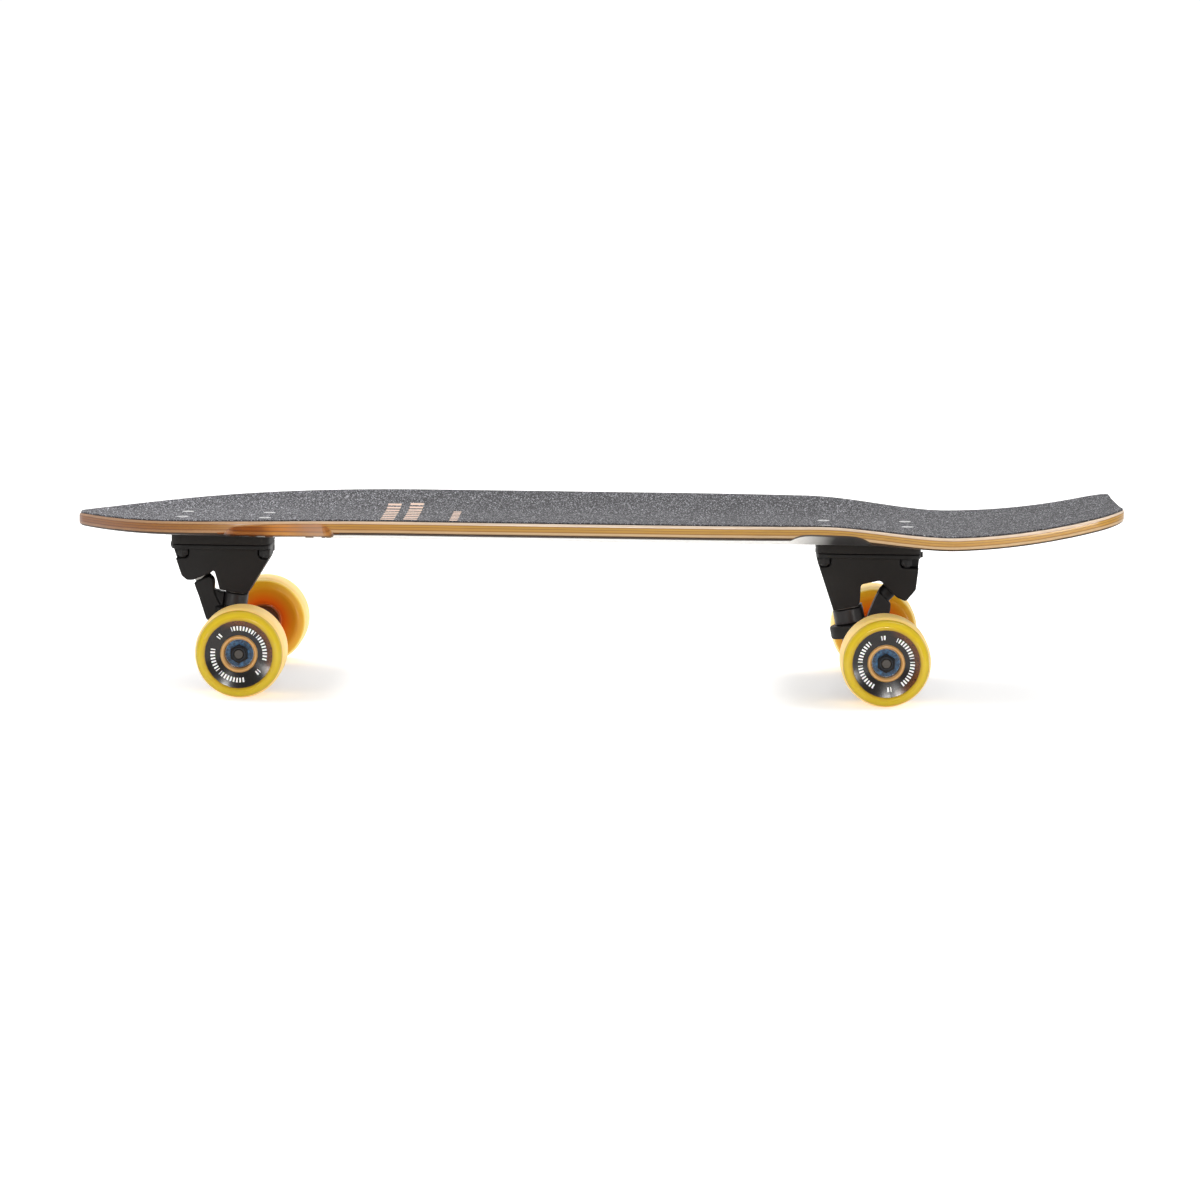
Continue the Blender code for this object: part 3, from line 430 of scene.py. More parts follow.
def layFloor():
    putDown()
    bpy.ops.mesh.primitive_plane_add(size=studio["floorSize"])
    floor = nameIt(bpy.context.object, "studioFloor")
    finish, tree, surface = newFinish(
        "floorPaper", Base_Color=(*studio["floorTone"], 1), Roughness=studio["floorRoughness"],
        Specular_IOR_Level=0.0, Emission_Color=(1, 1, 1, 1),
    )
    # only the shade close to the wheels shows
    x, y, _ = splitPlace(tree)
    along, across = studio["shadeReach"]
    nearest = 1.0
    for truck, axle in wheelValues["axleX"].items():
        middle = axle + studio["shadeSlip"][truck]
        sideways = reckon(tree, "DIVIDE", reckon(tree, "SUBTRACT", x, middle), along)
        deep = reckon(tree, "DIVIDE", y, across)
        squares = reckon(tree, "MULTIPLY_ADD", sideways, sideways, times(tree, deep, deep))
        nearest = reckon(tree, "MINIMUM", nearest, reckon(tree, "SQRT", squares))
    seen = between(tree, nearest, studio["shadeCore"], 1.0, studio["floorSeenNear"], studio["floorSeen"])
    tree.links.new(seenOr(tree, seen, studio["floorGlow"]), surface.inputs["Emission Strength"])
    paintWith(floor, finish)


def buildStudio():
    setCamera()
    bpy.context.scene.view_settings.view_transform = "Standard"
    world = bpy.data.worlds.new("paleSky")
    world.use_nodes = True
    tree = world.node_tree
    sky = tree.nodes["Background"]
    sky.inputs["Color"].default_value = (1, 1, 1, 1)
    # bright sweep beyond the board, darker room on the camera's side
    way = splitPlace(tree, addNode(tree, "ShaderNodeTexCoord").outputs["Generated"])
    room = between(tree, way[1], *studio["skyTurn"], studio["skyBehindCamera"], studio["skyAhead"])
    tree.links.new(seenOr(tree, studio["skySeen"], room), sky.inputs["Strength"])
    bpy.context.scene.world = world
    for name, light in studio["lights"].items():
        hangLight(name, *light)
    layFloor()


# Shape of the pressed deck, the same curves that the solid has

def halfWidthAt(x):
    x = np.asarray(x, float)
    fromNose = np.maximum(x + board["length"] / 2, 0.0003)
    toTail = board["length"] / 2 - x
    left = np.clip(1 - fromNose / board["widest"], 0, 1)
    body = board["width"] / 2 * (1 - left ** board["nosePower"]) ** board["noseBluntness"]
    tip = np.sqrt(np.maximum(0, fromNose * (2 * board["noseTip"] - fromNose)))
    past = np.clip((fromNose - board["widest"]) / (board["length"] - board["widest"]), 0, None)
    corner = np.clip(board["tailCorner"] - toTail, 0, board["tailCorner"])
    rounding = board["tailCorner"] - np.sqrt(board["tailCorner"] ** 2 - corner**2)
    behind = board["width"] / 2 - board["tailTaper"] * past ** board["tailPower"] - rounding
    return np.where(fromNose < board["widest"], (body**4 + tip**4) ** 0.25, behind)


def riseAt(x, y):
    fromNose = x + board["length"] / 2
    toTail = board["length"] / 2 - x
    nose = board["noseRise"] * np.maximum(0, 1 - fromNose / board["noseRiseLength"]) ** 2
    intoKick = np.maximum(0, board["kickLength"] - toTail)
    kick = board["kickRadius"] - np.sqrt(board["kickRadius"] ** 2 - intoKick**2)
    runIn = np.sin(math.pi / 2 * np.clip(fromNose / board["runIn"], 0, 1))
    fade = np.clip((board["fadeStart"] - toTail) / (board["fadeStart"] - board["fadeEnd"]), 0, 1)
    loss = (board["concave"] - board["concaveAtTail"]) * fade * fade * (3 - 2 * fade)
    flat = halfWidthAt(x) - np.minimum(board["flatInset"], halfWidthAt(x) / 2)
    across = np.minimum(1.0, np.abs(y) / flat)
    beside = np.maximum(0, across - board["flatShare"]) / (1 - board["flatShare"])
    return nose + kick + (board["concave"] * runIn - loss) * beside**2


def distanceToRail(x, y):
    # how far each place lies inside the outline, up to a few millimetres
    half = board["length"] / 2
    along = -half * np.cos(np.linspace(0, math.pi, 1500))
    side = halfWidthAt(along)
    outlineX = np.concatenate([along, along[::-1], along[:1]])
    outlineY = np.concatenate([side, -side[::-1], side[:1]])
    startX, startY = outlineX[:-1], outlineY[:-1]
    stepX, stepY = np.diff(outlineX), np.diff(outlineY)
    length = np.maximum(stepX**2 + stepY**2, 1e-18)
    found = np.empty(len(x))
    for first in range(0, len(x), 2000):
        px, py = x[first:first + 2000, None], y[first:first + 2000, None]
        share = np.clip(((px - startX) * stepX + (py - startY) * stepY) / length, 0, 1)
        away = (px - startX - share * stepX) ** 2 + (py - startY - share * stepY) ** 2
        found[first:first + 2000] = np.sqrt(away.min(axis=1))
    return found


def roundOff(distance, radius):
    inside = np.clip(radius - distance, 0, radius)
    return radius - np.sqrt(radius**2 - inside**2)


def placeArray(piece):
    spots = np.empty(len(piece.data.vertices) * 3)
    piece.data.vertices.foreach_get("co", spots)
    return spots.reshape(-1, 3)


def moveTo(piece, spots):
    piece.data.vertices.foreach_set("co", np.ascontiguousarray(spots, dtype=np.float32).ravel())
    piece.data.update()


deckValues = {
    "stations": 260,
    "railSteps": (0.0, 0.0001, 0.00035, 0.00075, 0.00125, 0.0019, 0.0026),
    "shares": (0.94, 0.88, 0.82, 0.76, 0.7, 0.64, 0.58, 0.52, 0.46, 0.4, 0.35, 0.31, 0.22, 0.11, 0.0),
    "patternMiddles": (-0.2879, 0.2074), "patternLength": 0.0635, "patternWidth": 0.0413,
    "wells": (
        {"x": -0.238, "length": 0.0895, "corner": 0.014, "woodLeft": 0.0029, "slope": 19.5},
        {"x": 0.1765, "length": 0.081, "corner": 0.026, "woodLeft": 0.0063, "slope": 15.0},
    ),
    "wellReach": 0.06, "wellDepth": 0.0206, "cornerSteps": 10, "cutterCuts": 9,
    "sinkRadius": 0.0049, "holeRadius": 0.0028, "headSeat": 0.1265, "holeSides": 24,
    "below": 0.09, "above": 0.14, "softAngle": 34,
    "bareEdge": 0.0035, "wellMargin": 0.001, "cutMargin": 0.0003,
}


def sectionLoop():
    # one trip round the deck's section: (side, how it is measured, value, level), level 0 is the underside
    rail = [(1, "rail", step) for step in deckValues["railSteps"]]
    flat = [(1, "flat", share) for share in deckValues["shares"]]
    half = rail + flat
    otherHalf = [(-1, kind, value) for _, kind, value in reversed(half[:-1])]
    across = half + otherHalf
    under = [(*spot, 0.0) for spot in reversed(across)]
    over = [(*spot, 1.0) for spot in across]
    loop = under + [(1, "rail", 0.0, 1 / 3), (1, "rail", 0.0, 2 / 3)] + over
    return loop + [(-1, "rail", 0.0, 2 / 3), (-1, "rail", 0.0, 1 / 3), under[0]]


def wellCutter(well, side):
    length, depth, near = well["length"], deckValues["wellDepth"], deckValues["wellMargin"]
    putDown()
    bpy.ops.mesh.primitive_cube_add(
        size=1, scale=(length, 2 * deckValues["wellReach"], depth), location=(0, 0, -depth / 2)
    )
    cutter = bakePlace(nameIt(bpy.context.object, "wellCutter"))
    openMesh(cutter)
    pickEdges(cutter, lambda a, b: a.z > -near and b.z > -near and abs(a.x - b.x) < near)
    bpy.ops.mesh.bevel(offset=well["corner"], segments=deckValues["cornerSteps"])
    bpy.ops.mesh.select_all(action="SELECT")
    bpy.ops.mesh.subdivide(number_cuts=deckValues["cutterCuts"])
    closeMesh()
    rail = float(halfWidthAt(well["x"]))
    height = board["topHeight"] + float(riseAt(np.float64(well["x"]), rail)) - well["woodLeft"]
    place = Matrix.Translation((well["x"], side * rail, height))
    return bakePlace(cutter, place @ Matrix.Rotation(side * math.radians(well["slope"]), 4, "X"))


def boltPlaces(middle):
    a, b = deckValues["patternLength"] / 2, deckValues["patternWidth"] / 2
    return [(middle + x, y) for x in (-a, a) for y in (-b, b)]


def boltHoleCutter():
    sink, hole, seat = deckValues["sinkRadius"], deckValues["holeRadius"], deckValues["headSeat"]
    below, above = deckValues["below"], deckValues["above"]
    line = [(0, below), (hole, below), (hole, seat - sink + hole), (sink, seat), (sink, above), (0, above)]
    first = turnPiece("holeCutter", line, deckValues["holeSides"], ring=False)
    cutters = []
    for middle in deckValues["patternMiddles"]:
        for x, y in boltPlaces(middle):
            cutters.append(bakePlace(copyOf(first, "holeCutter"), Matrix.Translation((x, y, 0))))
    throwAway(first)
    return joinPieces(cutters[0], cutters[1:])


def underAt(spot):
    # height of the uncut underside over a place
    return board["topHeight"] - board["thickness"] + float(riseAt(np.float64(spot.x), np.float64(spot.y)))


def buildDeck(finishes):
    loop = sectionLoop()
    putDown()
    bpy.ops.mesh.primitive_grid_add(
        x_subdivisions=deckValues["stations"], y_subdivisions=len(loop) - 1, size=1
    )
    deck = nameIt(bpy.context.object, "deckBoard")
    grid = placeArray(deck)
    row = np.rint((grid[:, 1] + 0.5) * (len(loop) - 1)).astype(int)
    side = np.array([spot[0] for spot in loop])[row]
    onRail = np.array([spot[1] == "rail" for spot in loop])[row]
    value = np.array([spot[2] for spot in loop])[row]
    level = np.array([spot[3] for spot in loop])[row]
    x = -board["length"] / 2 * np.cos(math.pi * (grid[:, 0] + 0.5))
    width = halfWidthAt(x)
    rounding = board["railRounding"]
    narrow = np.minimum(1, width / (2 * rounding))
    y = side * np.where(onRail, width - value * narrow, value * (width - rounding * narrow))
    drop = roundOff(distanceToRail(x, y), rounding)
    rise = riseAt(x, y)
    top = board["topHeight"] + rise - drop
    under = board["topHeight"] - board["thickness"] + rise + drop
    moveTo(deck, np.column_stack([x, y, under + (top - under) * level]))
    openMesh(deck, everything=True)
    mergePoints("samePoint")
    half, near = board["length"] / 2, meshValues["samePoint"]
    for end in (-half, half):
        bpy.ops.mesh.select_all(action="DESELECT")
        pickEdges(deck, lambda a, b: abs(a.x - end) < near and abs(b.x - end) < near)
        bpy.ops.mesh.edge_face_add()
    bpy.ops.mesh.select_all(action="SELECT")
    bpy.ops.mesh.normals_make_consistent(inside=False)
    closeMesh()
    for well in deckValues["wells"]:
        for side in (-1, 1):
            cutWith(deck, wellCutter(well, side))
    cutWith(deck, boltHoleCutter())
    spots = placeArray(deck)
    depth = board["topHeight"] + riseAt(spots[:, 0], spots[:, 1]) - spots[:, 2]
    inward = distanceToRail(spots[:, 0], spots[:, 1])
    for name, values in (("plyDepth", depth), ("fromRail", inward)):
        mark = deck.data.attributes.new(name, "FLOAT", "POINT")
        mark.data.foreach_set("value", values.astype(np.float32))
    smoothShade(deck, deckValues["softAngle"])
    paintWith(deck, finishes["maple"], finishes["underPaint"], finishes["mapleCut"])
    # paint on the underside within the rounded rail, and in the rear wells; the front wells are bare
    frontWell = deckValues["wells"][0]
    for face in deck.data.polygons:
        middle, normal = face.center, face.normal
        inFront = abs(middle.x - frontWell["x"]) < frontWell["length"] / 2 + deckValues["wellMargin"]
        cut = middle.z > underAt(middle) + deckValues["cutMargin"] and normal.z < 0.2
        rail = abs(middle.y) > float(halfWidthAt(middle.x)) - board["railRounding"] - deckValues["bareEdge"]
        painted = not inFront if cut else not rail
        if inFront and cut and abs(normal.y) < 0.9:
            face.material_index = 2
        else:
            face.material_index = 1 if normal.z < -0.5 and painted else 0
    standFor(deck, "deck", "board")


gripValues = {
    "gap": 0.0003, "thickness": 0.0007, "stations": 220, "columns": 56, "inset": 0.0015,
    "columnsOfBars": (
        {"x": -0.1619, "long": 0.0106, "wide": 0.0076, "pitch": 0.0138, "from": 0.086, "to": -0.1},
        {"x": -0.1443, "long": 0.0106, "wide": 0.0076, "pitch": 0.0138, "from": 0.089, "to": -0.1},
        {"x": -0.1107, "long": 0.0061, "wide": 0.006, "pitch": 0.011, "from": 0.052, "to": -0.07},
    ),
}


def buildGrip(finishes):
    putDown()
    bpy.ops.mesh.primitive_grid_add(
        x_subdivisions=gripValues["stations"], y_subdivisions=gripValues["columns"], size=1
    )
    grip = nameIt(bpy.context.object, "gripSheet")
    grid = placeArray(grip)
    inset = gripValues["inset"]
    x = -(board["length"] / 2 - inset) * np.cos(math.pi * (grid[:, 0] + 0.5))
    width = halfWidthAt(x)
    side = np.sin(math.pi * grid[:, 1])
    y = side * (width - inset * np.minimum(1, width / (2 * inset)))
    drop = roundOff(distanceToRail(x, y), board["railRounding"])
    z = board["topHeight"] + riseAt(x, y) - drop + gripValues["gap"]
    moveTo(grip, np.column_stack([x, y, z]))
    openMesh(grip, everything=True)
    bpy.ops.mesh.extrude_region_move(TRANSFORM_OT_translate={"value": (0, 0, gripValues["thickness"])})
    bpy.ops.mesh.select_all(action="SELECT")
    bpy.ops.mesh.normals_make_consistent(inside=False)
    closeMesh()
    cutWith(grip, boltHoleCutter())
    smoothShade(grip, deckValues["softAngle"])
    paintWith(grip, finishes["grit"])
    standFor(grip, "grip_tape", "board")


# Finishes: a ramp's stops are a place from 0 to 1, and the tone or the strength there

mapleValues = {
    "roughness": 0.32, "coatRoughness": 0.12, "varnish": 0.38, "varnishOnCuts": 0.1,
    "streaks": (6, 180, 420), "fibres": (14, 900, 1500), "clouds": (5, 12, 12),
    "wander": 0.0006, "grainDepth": 0.0001,
    # plies and glue lines, by the share of the thickness below the top; the dark band at the very top is
    # painted shade under the grip's edge, and the bands darken again at the lowest edge
    "plies": (
        (0.03, (96, 72, 48)), (0.07, (238, 218, 200)), (0.21, (230, 208, 182)), (0.25, (142, 92, 38)),
        (0.28, (192, 144, 54)), (0.39, (202, 158, 66)), (0.43, (138, 90, 32)), (0.46, (196, 148, 56)),
        (0.6, (192, 142, 52)), (0.64, (128, 82, 30)), (0.67, (190, 148, 80)), (0.73, (208, 178, 134)),
        (0.84, (200, 166, 124)), (0.88, (132, 100, 62)), (0.95, (70, 54, 40)),
    ),
    "fibreTones": ((0.3, (0.84, 0.8, 0.74, 1)), (0.7, (1.06, 1.05, 1.03, 1))),
    "cloudTones": ((0.3, (0.93, 0.9, 0.86, 1)), (0.7, (1.04, 1.03, 1.02, 1))),
    # darker and browner towards the nose, and a little lighter near the tail, by the share of the length
    "noseDarkening": (
        (0.0, (0.5, 0.3, 0.16, 1)), (0.08, (0.56, 0.38, 0.22, 1)), (0.3, (0.86, 0.79, 0.7, 1)),
        (0.42, (0.83, 0.84, 0.85, 1)), (0.72, (0.83, 0.84, 0.85, 1)), (0.86, (1, 1, 1, 1)),
    ),
    # raw wood in the front wells, reddish where it is cut across the grain, then painted much brighter, as
    # painted light, where the cut face turns down into shade
    "cutStainsAndPaintedLight": (
        (0.17, (1.0, 0.66, 0.35, 1)), (0.186, (1.02, 0.66, 0.31, 1)), (0.198, (1.7, 1.35, 0.44, 1)),
        (0.208, (1.7, 1.38, 0.44, 1)), (0.228, (1.12, 0.8, 0.24, 1)), (0.25, (1.02, 0.7, 0.22, 1)),
        (0.262, (1.1, 0.8, 0.36, 1)),
    ),
    "noStains": ((0.0, (1, 1, 1, 1)),),
    "varnishEnds": (0.82, 0.92),
}


def makeMaple(name, stainsAndPaintedLight, varnish):
    values = mapleValues
    finish, tree, surface = newFinish(
        name, Roughness=values["roughness"], Coat_Roughness=values["coatRoughness"]
    )
    streaks = noiseOf(tree, placeOf(tree, values["streaks"]), 1.0, 5.0)
    wander = reckon(tree, "MULTIPLY_ADD", streaks, values["wander"], -values["wander"] / 2)
    depth = reckon(tree, "ADD", readMark(tree, "plyDepth"), wander)
    layer = reckon(tree, "DIVIDE", depth, board["thickness"])
    fibres = noiseOf(tree, placeOf(tree, values["fibres"]), 1.0, 4.0, 0.7)
    clouds = noiseOf(tree, placeOf(tree, values["clouds"]), 1.0, 2.0)
    along = shareOfLength(tree, splitPlace(tree)[0])
    # tints along the length: stains, and in the front wells also painted light on the cut face
    wood = tint(tree, rampOf(tree, layer, toned(values["plies"])), rampOf(tree, along, stainsAndPaintedLight))
    wood = tint(tree, wood, rampOf(tree, fibres, values["fibreTones"]))
    wood = tint(tree, wood, rampOf(tree, clouds, values["cloudTones"]))
    wood = tint(tree, wood, rampOf(tree, along, values["noseDarkening"]))
    tree.links.new(wood, surface.inputs["Base Color"])
    # the varnish ends at the lower corner of the rail
    ends = values["varnishEnds"]
    tree.links.new(between(tree, layer, *ends, varnish, 0.0), surface.inputs["Coat Weight"])
    gloss = between(tree, layer, *ends, 0.35 + 0.3 * varnish, 0.1)
    tree.links.new(gloss, surface.inputs["Specular IOR Level"])
    raiseGrain(tree, surface, streaks, values["grainDepth"], 0.35)
    return finish


underPaintValues = {
    "roughness": 0.55, "gloss": 0.2, "glow": 0.2, "black": (34, 33, 34), "white": (246, 246, 245),
    # a dark line runs along the rail, up to this far inside the outline
    "lineTone": (58, 46, 36), "lineEnds": (0.0055, 0.0095),
    "cloudSize": 9.0, "cloudShift": 0.03, "speckSize": 900.0, "specks": ((0.35, 0.9), (0.65, 1.05)),
    "shades": (
        (0.0, "white"), (0.05, "white"), (0.1, "black"), (0.17, "black"), (0.235, "white"), (0.682, "white"),
        (0.726, "black"), (1.0, "black"),
    ),
}


def makeUnderPaint():
    values = underPaintValues
    finish, tree, surface = newFinish(
        "underPaint", Roughness=values["roughness"], Specular_IOR_Level=values["gloss"],
        Emission_Strength=values["glow"],
    )
    along = shareOfLength(tree, splitPlace(tree)[0])
    cloud = noiseOf(tree, placeOf(tree), values["cloudSize"], 4.0, 0.6)
    shift = reckon(tree, "MULTIPLY_ADD", cloud, values["cloudShift"], -values["cloudShift"] / 2)
    stops = [(place, tone(*values[colour])) for place, colour in values["shades"]]
    shades = rampOf(tree, reckon(tree, "ADD", along, shift), stops)
    specks = rampOf(tree, noiseOf(tree, placeOf(tree), values["speckSize"], 2.0, 0.8), values["specks"])
    inside = between(tree, readMark(tree, "fromRail"), *values["lineEnds"])
    painted = tint(tree, blendTones(tree, inside, tone(*values["lineTone"]), shades), specks)
    tree.links.new(painted, surface.inputs["Base Color"])
    # painted light: the paint glows in its own colour, so the white part stays bright in the board's own
    # shade
    tree.links.new(painted, surface.inputs["Emission Color"])
    raiseGrain(tree, surface, cloud, 0.0002, 0.2)
    return finish


gritValues = {
    "roughness": 0.78, "grainSize": 1700.0, "grainShare": 0.35, "grainDepth": 0.0004,
    "clusterSize": 1500.0, "clusterShare": 0.65, "clusterStretch": (1, 0.26, 1),
    "shades": (
        (0.08, (32, 32, 35)), (0.4, (60, 60, 64)), (0.6, (80, 80, 85)), (0.8, (138, 138, 145)),
        (0.95, (216, 216, 223)),
    ),
    # painted light: the grit is paler towards the nose, where more light falls on it
    "paintedNoseLight": ((0.0, 1.16), (0.2, 0.96), (0.4, 0.76), (0.75, 0.75), (1.0, 0.66)),
    "barTone": (220, 192, 174),
}


def grainOf(tree, place, scale):
    # cells of one tone each, and how far every spot is from its cell's middle
    cells = addNode(tree, "ShaderNodeTexVoronoi", feature="F1")
    cells.inputs["Scale"].default_value = scale
    tree.links.new(place, cells.inputs["Vector"])
    shade = addNode(tree, "ShaderNodeSeparateColor")
    tree.links.new(cells.outputs["Color"], shade.inputs[0])
    return shade.outputs[0], cells.outputs["Distance"]


def makeGrit():
    values = gritValues
    finish, tree, surface = newFinish("gritSheet", Roughness=values["roughness"])
    # single grains, then clusters of them that catch the light or don't
    grain, away = grainOf(tree, placeOf(tree), values["grainSize"])
    cluster, _ = grainOf(tree, placeOf(tree, values["clusterStretch"]), values["clusterSize"])
    clusters = times(tree, cluster, values["clusterShare"])
    mixed = reckon(tree, "MULTIPLY_ADD", grain, values["grainShare"], clusters)
    x, y, _ = splitPlace(tree)
    # painted light: the grit is painted paler towards the nose
    paintedNoseLight = rampOf(tree, shareOfLength(tree, x), values["paintedNoseLight"])
    gritWithNoseLight = tint(tree, rampOf(tree, mixed, toned(values["shades"])), paintedNoseLight)
    bright = blendTones(tree, plainBars(tree, x, y), gritWithNoseLight, tone(*values["barTone"]))
    tree.links.new(bright, surface.inputs["Base Color"])
    raiseGrain(tree, surface, away, values["grainDepth"], 0.7)
    return finish


def plainBars(tree, x, y):
    # pale bars in columns across the board, one column after another
    found = 0.0
    for column in gripValues["columnsOfBars"]:
        beside = reckon(tree, "ABSOLUTE", reckon(tree, "SUBTRACT", x, column["x"]))
        number = reckon(tree, "DIVIDE", reckon(tree, "SUBTRACT", column["from"], y), column["pitch"])
        share = reckon(tree, "ABSOLUTE", reckon(tree, "SUBTRACT", reckon(tree, "FRACT", number), 0.5))
        half = column["wide"] / column["pitch"] / 2
        inside = times(tree, reckon(tree, "LESS_THAN", beside, column["long"] / 2),
                       reckon(tree, "LESS_THAN", share, half))
        within = times(tree, reckon(tree, "LESS_THAN", y, column["from"]),
                       reckon(tree, "GREATER_THAN", y, column["to"]))
        found = reckon(tree, "MAXIMUM", found, times(tree, inside, within))
    return found


urethaneValues = {
    "scatter": 0.18, "scatterDepth": 0.004, "scatterTint": (1.0, 0.45, 0.12),
    "glowInside": 0.36, "glowInsideFrom": (-0.0135, -0.019), "glowTread": 0.26,
    # places below are distances from the axle or from the wheel's middle, in metres
    "tread": ((246, 206, 116), (250, 214, 136)), "treadFrom": (0.03235, 0.0331),
    "innerDeep": (-0.0195, -0.0205), "innerWithin": (0.0325, 0.0315),
    "hub": ((200, 146, 84), (216, 172, 110)), "hubWithin": (0.0141, 0.01395),
    "outerFace": (0.012, 0.0135),
    # by the share of the wheel's radius
    # painted shade and highlight: the lip is darker at its inner edge and lighter along its crest
    "lip": (
        (0.75, (166, 131, 12)), (0.79, (202, 168, 20)), (0.86, (222, 192, 38)), (0.93, (210, 180, 30)),
        (0.965, (218, 184, 56)),
    ),
    # painted light: the inner face is redder towards the hub, as a painted glow of light soaked through, and
    # darkest right by the hub
    "inner": (
        (0.385, (104, 56, 26)), (0.42, (176, 58, 8)), (0.5, (196, 82, 10)), (0.72, (188, 112, 16)),
        (0.93, (206, 152, 34)),
    ),
    # printed ring, with worn spots at its outer edge
    "printFrom": (0.014, 0.0142), "printTo": 0.0251, "edgeWobble": 0.0008, "edgeSoft": 0.00015,
    "wornSide": (0.002, 0.022), "wornFrom": (0.019, 0.0252), "wornSpecks": (0.47, 0.6),
    "rim": (-0.0007, -0.0001), "rimShare": 0.6,
    "ink": (28, 24, 23), "inkWorn": (130, 72, 24), "inkSpecks": (22, 17, 14), "inkRim": (96, 66, 24),
    # plain ticks in four long and two short rows; each row is from and to, in degrees
    "rows": ((0, 58), (66, 120), (146, 156), (182, 231), (239, 297), (326, 336)),
    "rowTurn": 14.0, "cells": 52.0, "tickEdge": (0.3, 0.22), "tickTone": (252, 252, 250),
    "ticksFrom": (0.0178, 0.018), "ticksTo": (0.0214, 0.0212),
    "shine": 0.14, "shineGrime": 0.08, "treadDull": 0.3,
}


def makeUrethane():
    # one finish for tread, lip, print and both faces, by place from the middle of the wheel
    values = urethaneValues
    finish, tree, surface = newFinish(
        "wheelUrethane", Subsurface_Weight=values["scatter"], Subsurface_Scale=values["scatterDepth"],
        Subsurface_Radius=values["scatterTint"],
    )
    spot = readMark(tree, "wheelPlace", "Vector")
    x, y, out = splitPlace(tree, spot)
    radius = reckon(tree, "SQRT", reckon(tree, "MULTIPLY_ADD", x, x, times(tree, y, y)))
    angle = times(tree, reckon(tree, "ARCTAN2", y, x), 180 / math.pi)
    turned = reckon(tree, "FLOORED_MODULO", reckon(tree, "ADD", angle, values["rowTurn"]), 360.0)
    around = reckon(tree, "DIVIDE", turned, 360.0)
    share = reckon(tree, "DIVIDE", radius, wheelValues["height"])
    grime = noiseOf(tree, spot, 260.0, 4.0, 0.65)
    soft = noiseOf(tree, spot, 70.0, 2.0)
    # poured yellow: the ground tread is paler; the lips are deeper and shine, their colour painted darker at
    # the inner edge and lighter along the crest, as painted shade and highlight on their rounded face
    tread = blendTones(tree, soft, *(tone(*colour) for colour in values["tread"]))
    onTread = between(tree, radius, *values["treadFrom"])
    poured = blendTones(tree, onTread, rampOf(tree, share, toned(values["lip"])), tread)
    deep, within = between(tree, out, *values["innerDeep"]), between(tree, radius, *values["innerWithin"])
    # painted light: the inner face's colour is redder towards the hub, standing in for light soaked through
    # the urethane
    inner = rampOf(tree, share, toned(values["inner"]))
    poured = blendTones(tree, times(tree, deep, within), poured, inner)
    # hub lip in a paler cream
    onFace = between(tree, out, *values["outerFace"])
    onHub = times(tree, between(tree, radius, *values["hubWithin"]), onFace)
    hub = blendTones(tree, soft, *(tone(*colour) for colour in values["hub"]))
    poured = blendTones(tree, onHub, poured, hub)
    # black print ring, thin and brown towards one side
    edge = reckon(tree, "MULTIPLY_ADD", grime, values["edgeWobble"], values["printTo"])
    pastEdge = reckon(tree, "SUBTRACT", radius, edge)
    beforeEdge = between(tree, pastEdge, values["edgeSoft"], -values["edgeSoft"])
    inRing = times(tree, between(tree, radius, *values["printFrom"]), beforeEdge)
    wornSide = between(tree, reckon(tree, "ADD", x, times(tree, y, 0.9)), *values["wornSide"])
    wear = times(tree, wornSide, between(tree, radius, *values["wornFrom"]))
    speckle = between(tree, noiseOf(tree, spot, 900.0, 3.0, 0.8), *values["wornSpecks"])
    ink = blendTones(tree, times(tree, wear, 0.8), tone(*values["ink"]), tone(*values["inkWorn"]))
    ink = blendTones(tree, times(tree, wear, speckle), ink, tone(*values["inkSpecks"]))
    rim = times(tree, between(tree, pastEdge, *values["rim"]), values["rimShare"])
    ink = blendTones(tree, rim, ink, tone(*values["inkRim"]))
    stops = [stop for start, end in values["rows"] for stop in ((start / 360, 1.0), (end / 360, 0.0))]
    rows = rampOf(tree, around, stops, "CONSTANT")
    cell = times(tree, around, values["cells"])
    inCell = reckon(tree, "ABSOLUTE", reckon(tree, "SUBTRACT", reckon(tree, "FRACT", cell), 0.5))
    above, below = (between(tree, radius, *values[edge]) for edge in ("ticksFrom", "ticksTo"))
    ticks = times(tree, rows, between(tree, inCell, *values["tickEdge"]))
    ticks = times(tree, ticks, times(tree, above, below))
    ink = blendTones(tree, ticks, ink, tone(*values["tickTone"]))
    shown = blendTones(tree, times(tree, inRing, onFace), poured, ink)
    tree.links.new(shown, surface.inputs["Base Color"])
    # painted light: the material glows in its own colour on the tread and most on the inner face, standing
    # in for light that soaks through the soft material
    tree.links.new(shown, surface.inputs["Emission Color"])
    paintedGlowInside = times(tree, between(tree, out, *values["glowInsideFrom"]), values["glowInside"])
    paintedGlowStrength = reckon(tree, "MAXIMUM", times(tree, onTread, values["glowTread"]), paintedGlowInside)
    tree.links.new(paintedGlowStrength, surface.inputs["Emission Strength"])
    grimy = reckon(tree, "MULTIPLY_ADD", grime, values["shineGrime"], values["shine"])
    shine = reckon(tree, "MULTIPLY_ADD", onTread, values["treadDull"], grimy)
    tree.links.new(shine, surface.inputs["Roughness"])
    raiseGrain(tree, surface, times(tree, noiseOf(tree, spot, 1500.0, 3.0), onTread), 0.0001, 0.5)
    return finish


grainValues = {
    "metalMarks": (30, 30, 30), "metalDepth": 0.00003, "metalDark": 0.86,
    "satinGloss": 0.32, "satinDark": 0.8, "fineShare": 0.4, "slowShare": 0.6,
    "shield": ((0.35, (36, 52, 72)), (0.5, (54, 92, 130)), (0.66, (72, 134, 188))),
}


def mottle(tree, value, colour, darkest, low, high):
    # the colour, and a darker one where the value is low
    return rampOf(tree, value, [(low, tone(*(part * darkest for part in colour))), (high, tone(*colour))])


